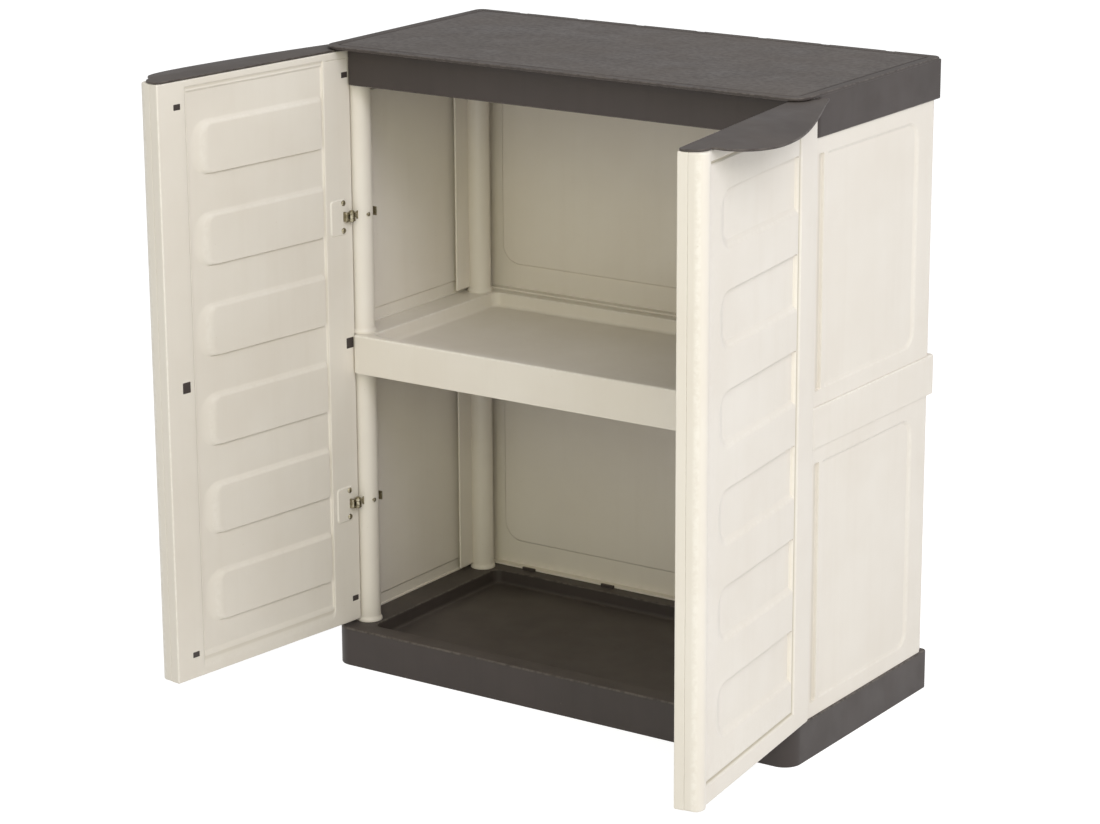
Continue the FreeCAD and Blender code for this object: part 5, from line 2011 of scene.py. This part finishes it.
@dataclass(frozen=True)
class Viewpoint:
    """The photograph's camera: where it stands round the cabinet and where it points.

    Attributes:
        azimuth: Angle round the cabinet, in degrees.
        elevation: Angle above the horizon.
        yaw: Turn from the line to the cabinet's middle.
        pitch: Further tilt down from that line.
        roll: Turn about the line of sight.
        distance: Metres from the cabinet's middle.
        focal: Focal length in pixels of the photograph's frame.
        frame_width: Width of that frame in pixels.
        middle: Height of the cabinet's middle in metres.
    """

    azimuth: float = 32.85
    elevation: float = 15.18
    yaw: float = 1.38
    pitch: float = 0.71
    roll: float = -0.31
    distance: float = 4.50746
    focal: float = 3343.52
    frame_width: float = 1100.0
    middle: float = 0.435

    @staticmethod
    def back(azimuth: float, elevation: float) -> Vector:
        """Return the direction from what is looked at towards the camera."""
        a, e = math.radians(azimuth), math.radians(elevation)
        return Vector((math.sin(a) * math.cos(e), -math.cos(a) * math.cos(e), math.sin(e)))

    def add(self) -> None:
        """Create the camera and make it the scene's own."""
        data = bpy.data.cameras.new("camera")
        data.sensor_width = 36.0
        data.lens = self.focal / self.frame_width * data.sensor_width
        data.clip_start, data.clip_end = 0.1, 60.0
        thing = bpy.data.objects.new("camera", data)
        bpy.context.scene.collection.objects.link(thing)
        backwards = self.back(self.azimuth + self.yaw, self.elevation + self.pitch)
        turn = math.radians(self.azimuth + self.yaw)
        right = Vector((math.cos(turn), math.sin(turn), 0.0))
        up = backwards.cross(right)
        cosine, sine = math.cos(math.radians(self.roll)), math.sin(math.radians(self.roll))
        across, upwards = right * cosine + up * sine, up * cosine - right * sine
        rows = [[across[i], upwards[i], backwards[i]] for i in range(3)]
        spot = Vector((0.0, 0.0, self.middle)) + self.back(self.azimuth, self.elevation) * self.distance
        thing.matrix_world = Matrix.Translation(spot) @ Matrix(rows).to_4x4()
        bpy.context.scene.camera = thing


@dataclass(frozen=True)
class Lamp:
    """A soft square lamp that points at the cabinet.

    Attributes:
        name: Its name.
        spot: Where it hangs, in metres.
        size: Its side in metres.
        power: Its power in watts.
        colour: Its linear colour.
        aim: Height in metres of the point on the cabinet's axis that it points at.
    """

    name: str
    spot: Triple
    size: float
    power: float
    colour: Triple
    aim: float = 0.45

    def add(self) -> None:
        """Hang the lamp."""
        data = bpy.data.lights.new(self.name, "AREA")
        data.size, data.energy, data.color = self.size, self.power, self.colour
        lamp = bpy.data.objects.new(self.name, data)
        lamp.location = self.spot
        way = Vector((0.0, 0.0, self.aim)) - Vector(self.spot)
        lamp.rotation_mode = "QUATERNION"
        lamp.rotation_quaternion = way.to_track_quat("-Z", "Y")
        bpy.context.scene.collection.objects.link(lamp)


@dataclass(frozen=True)
class Studio:
    """A pale floor, a white surround and soft lamps.

    Attributes:
        floor_half: Half the floor's side in metres.
        floor_shade: Brightness of the floor to everything but the camera.
        floor_seen: Brightness of the floor to the camera, on which the cabinet's shadow falls.
        floor_glow: Light of the floor's own that brings it up to white there.
        surround: Strength of the surround's light.
        lamps: The lamps.
    """

    floor_half: float = 14.0
    floor_shade: float = 0.8
    floor_seen: float = 0.42
    floor_glow: float = 0.85
    surround: float = 0.6
    lamps: tuple[Lamp, ...] = (
        Lamp("key_lamp", (3.4, -1.9, 3.6), 2.2, 94.0, (0.94, 0.94, 1.0)),
        Lamp("front_lamp", (1.9, -3.8, 2.1), 2.0, 38.0, (1.0, 0.97, 0.62)),
        Lamp("side_lamp", (4.2, -0.4, 2.0), 2.0, 10.0, (1.0, 1.0, 1.0)))

    def floor_material(self) -> Material:
        """Return a pale floor that the camera sees as white but for the cabinet's shadow.

        Returns:
            The material.
        """
        made = bpy.data.materials.new("pale_floor")
        made.use_nodes = True
        graph = Graph(made.node_tree)
        path = graph.add("ShaderNodeLightPath")
        seen = graph.maths("MAXIMUM", path.outputs["Is Camera Ray"], path.outputs["Is Glossy Ray"])
        plain = graph.add("ShaderNodeBsdfDiffuse", {"Color": (self.floor_shade,) * 3 + (1.0,)}).outputs[0]
        shaded = graph.add("ShaderNodeBsdfDiffuse", {"Color": (self.floor_seen,) * 3 + (1.0,)}).outputs[0]
        glow = graph.add("ShaderNodeEmission", {"Color": WHITE, "Strength": self.floor_glow}).outputs[0]
        bright = graph.add("ShaderNodeAddShader", {0: shaded, 1: glow}).outputs[0]
        mixed = graph.add("ShaderNodeMixShader", {0: seen, 1: plain, 2: bright}).outputs[0]
        graph.add("ShaderNodeOutputMaterial", {"Surface": mixed})
        return made

    def add_floor(self) -> None:
        """Lay the floor."""
        half = self.floor_half
        corners = [(-half, -half, 0.0), (half, -half, 0.0), (half, half, 0.0), (-half, half, 0.0)]
        data = bpy.data.meshes.new("floor")
        data.from_pydata(corners, [], [(0, 1, 2, 3)])
        data.materials.append(self.floor_material())
        floor = bpy.data.objects.new("floor", data)
        bpy.context.scene.collection.objects.link(floor)

    def add_surround(self) -> None:
        """Set a world that lights softly and looks white to the camera."""
        world = bpy.data.worlds.new("surround")
        bpy.context.scene.world = world
        world.use_nodes = True
        graph = Graph(world.node_tree)
        path = graph.add("ShaderNodeLightPath")
        seen = graph.maths("MAXIMUM", path.outputs["Is Camera Ray"], path.outputs["Is Transmission Ray"])
        limits = {0: seen, 1: 0.0, 2: 1.0, 3: self.surround, 4: 1.0}
        strength = graph.add("ShaderNodeMapRange", limits).outputs[0]
        light = graph.add("ShaderNodeBackground", {"Color": WHITE, "Strength": strength})
        graph.add("ShaderNodeOutputWorld", {"Surface": light.outputs[0]})

    def add(self) -> None:
        """Build the room."""
        self.add_floor()
        self.add_surround()
        for lamp in self.lamps:
            lamp.add()
        bpy.context.scene.view_settings.view_transform = "Standard"


@dataclass
class Cabinet:
    """The whole cabinet, built from its sub-assemblies."""

    palette: Palette
    plan: Plan = field(default_factory=Plan)

    def add(self) -> None:
        """Build every sub-assembly in order."""
        base = Tray(
            "base_tray", self.plan.footprint(), bottom=0.0, height=55.0,
            recess=(-321.5, -156.0, 321.5, 143.0), cell_depth=32.0, side_depth=52.0,
            material=self.palette.dark, slot=Slot.DARK)
        base.add(self.plan, [TabRow().mesh(self.palette.dark)])
        shelf = Tray(
            "middle_shelf", self.plan.carcass(), bottom=417.0, height=54.0,
            recess=(-321.5, -146.0, 321.5, 147.0), cell_depth=31.0, side_depth=51.0,
            material=self.palette.cream, slot=Slot.CREAM)
        shelf.add(self.plan)
        Lid(self.palette.dark).add(self.plan)
        for storey in Storey:
            for side in Side:
                for front in (True, False):
                    Post(side, storey, front, self.palette.cream).add(self.plan)
        WallPanels(self.palette.cream).add()
        for side in Side:
            frame = DoorFrame(side)
            DoorSkins(frame, self.palette).add()
            DoorCap(frame, self.palette.dark).add()
            HingeSet(frame, self.plan, self.palette.steel).add()


def main() -> None:
    logging.basicConfig(level=logging.INFO, format="%(name)s: %(message)s")
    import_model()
    Cabinet(Palette.mixed()).add()
    Viewpoint().add()
    Studio().add()


if __name__ == "__main__":
    main()
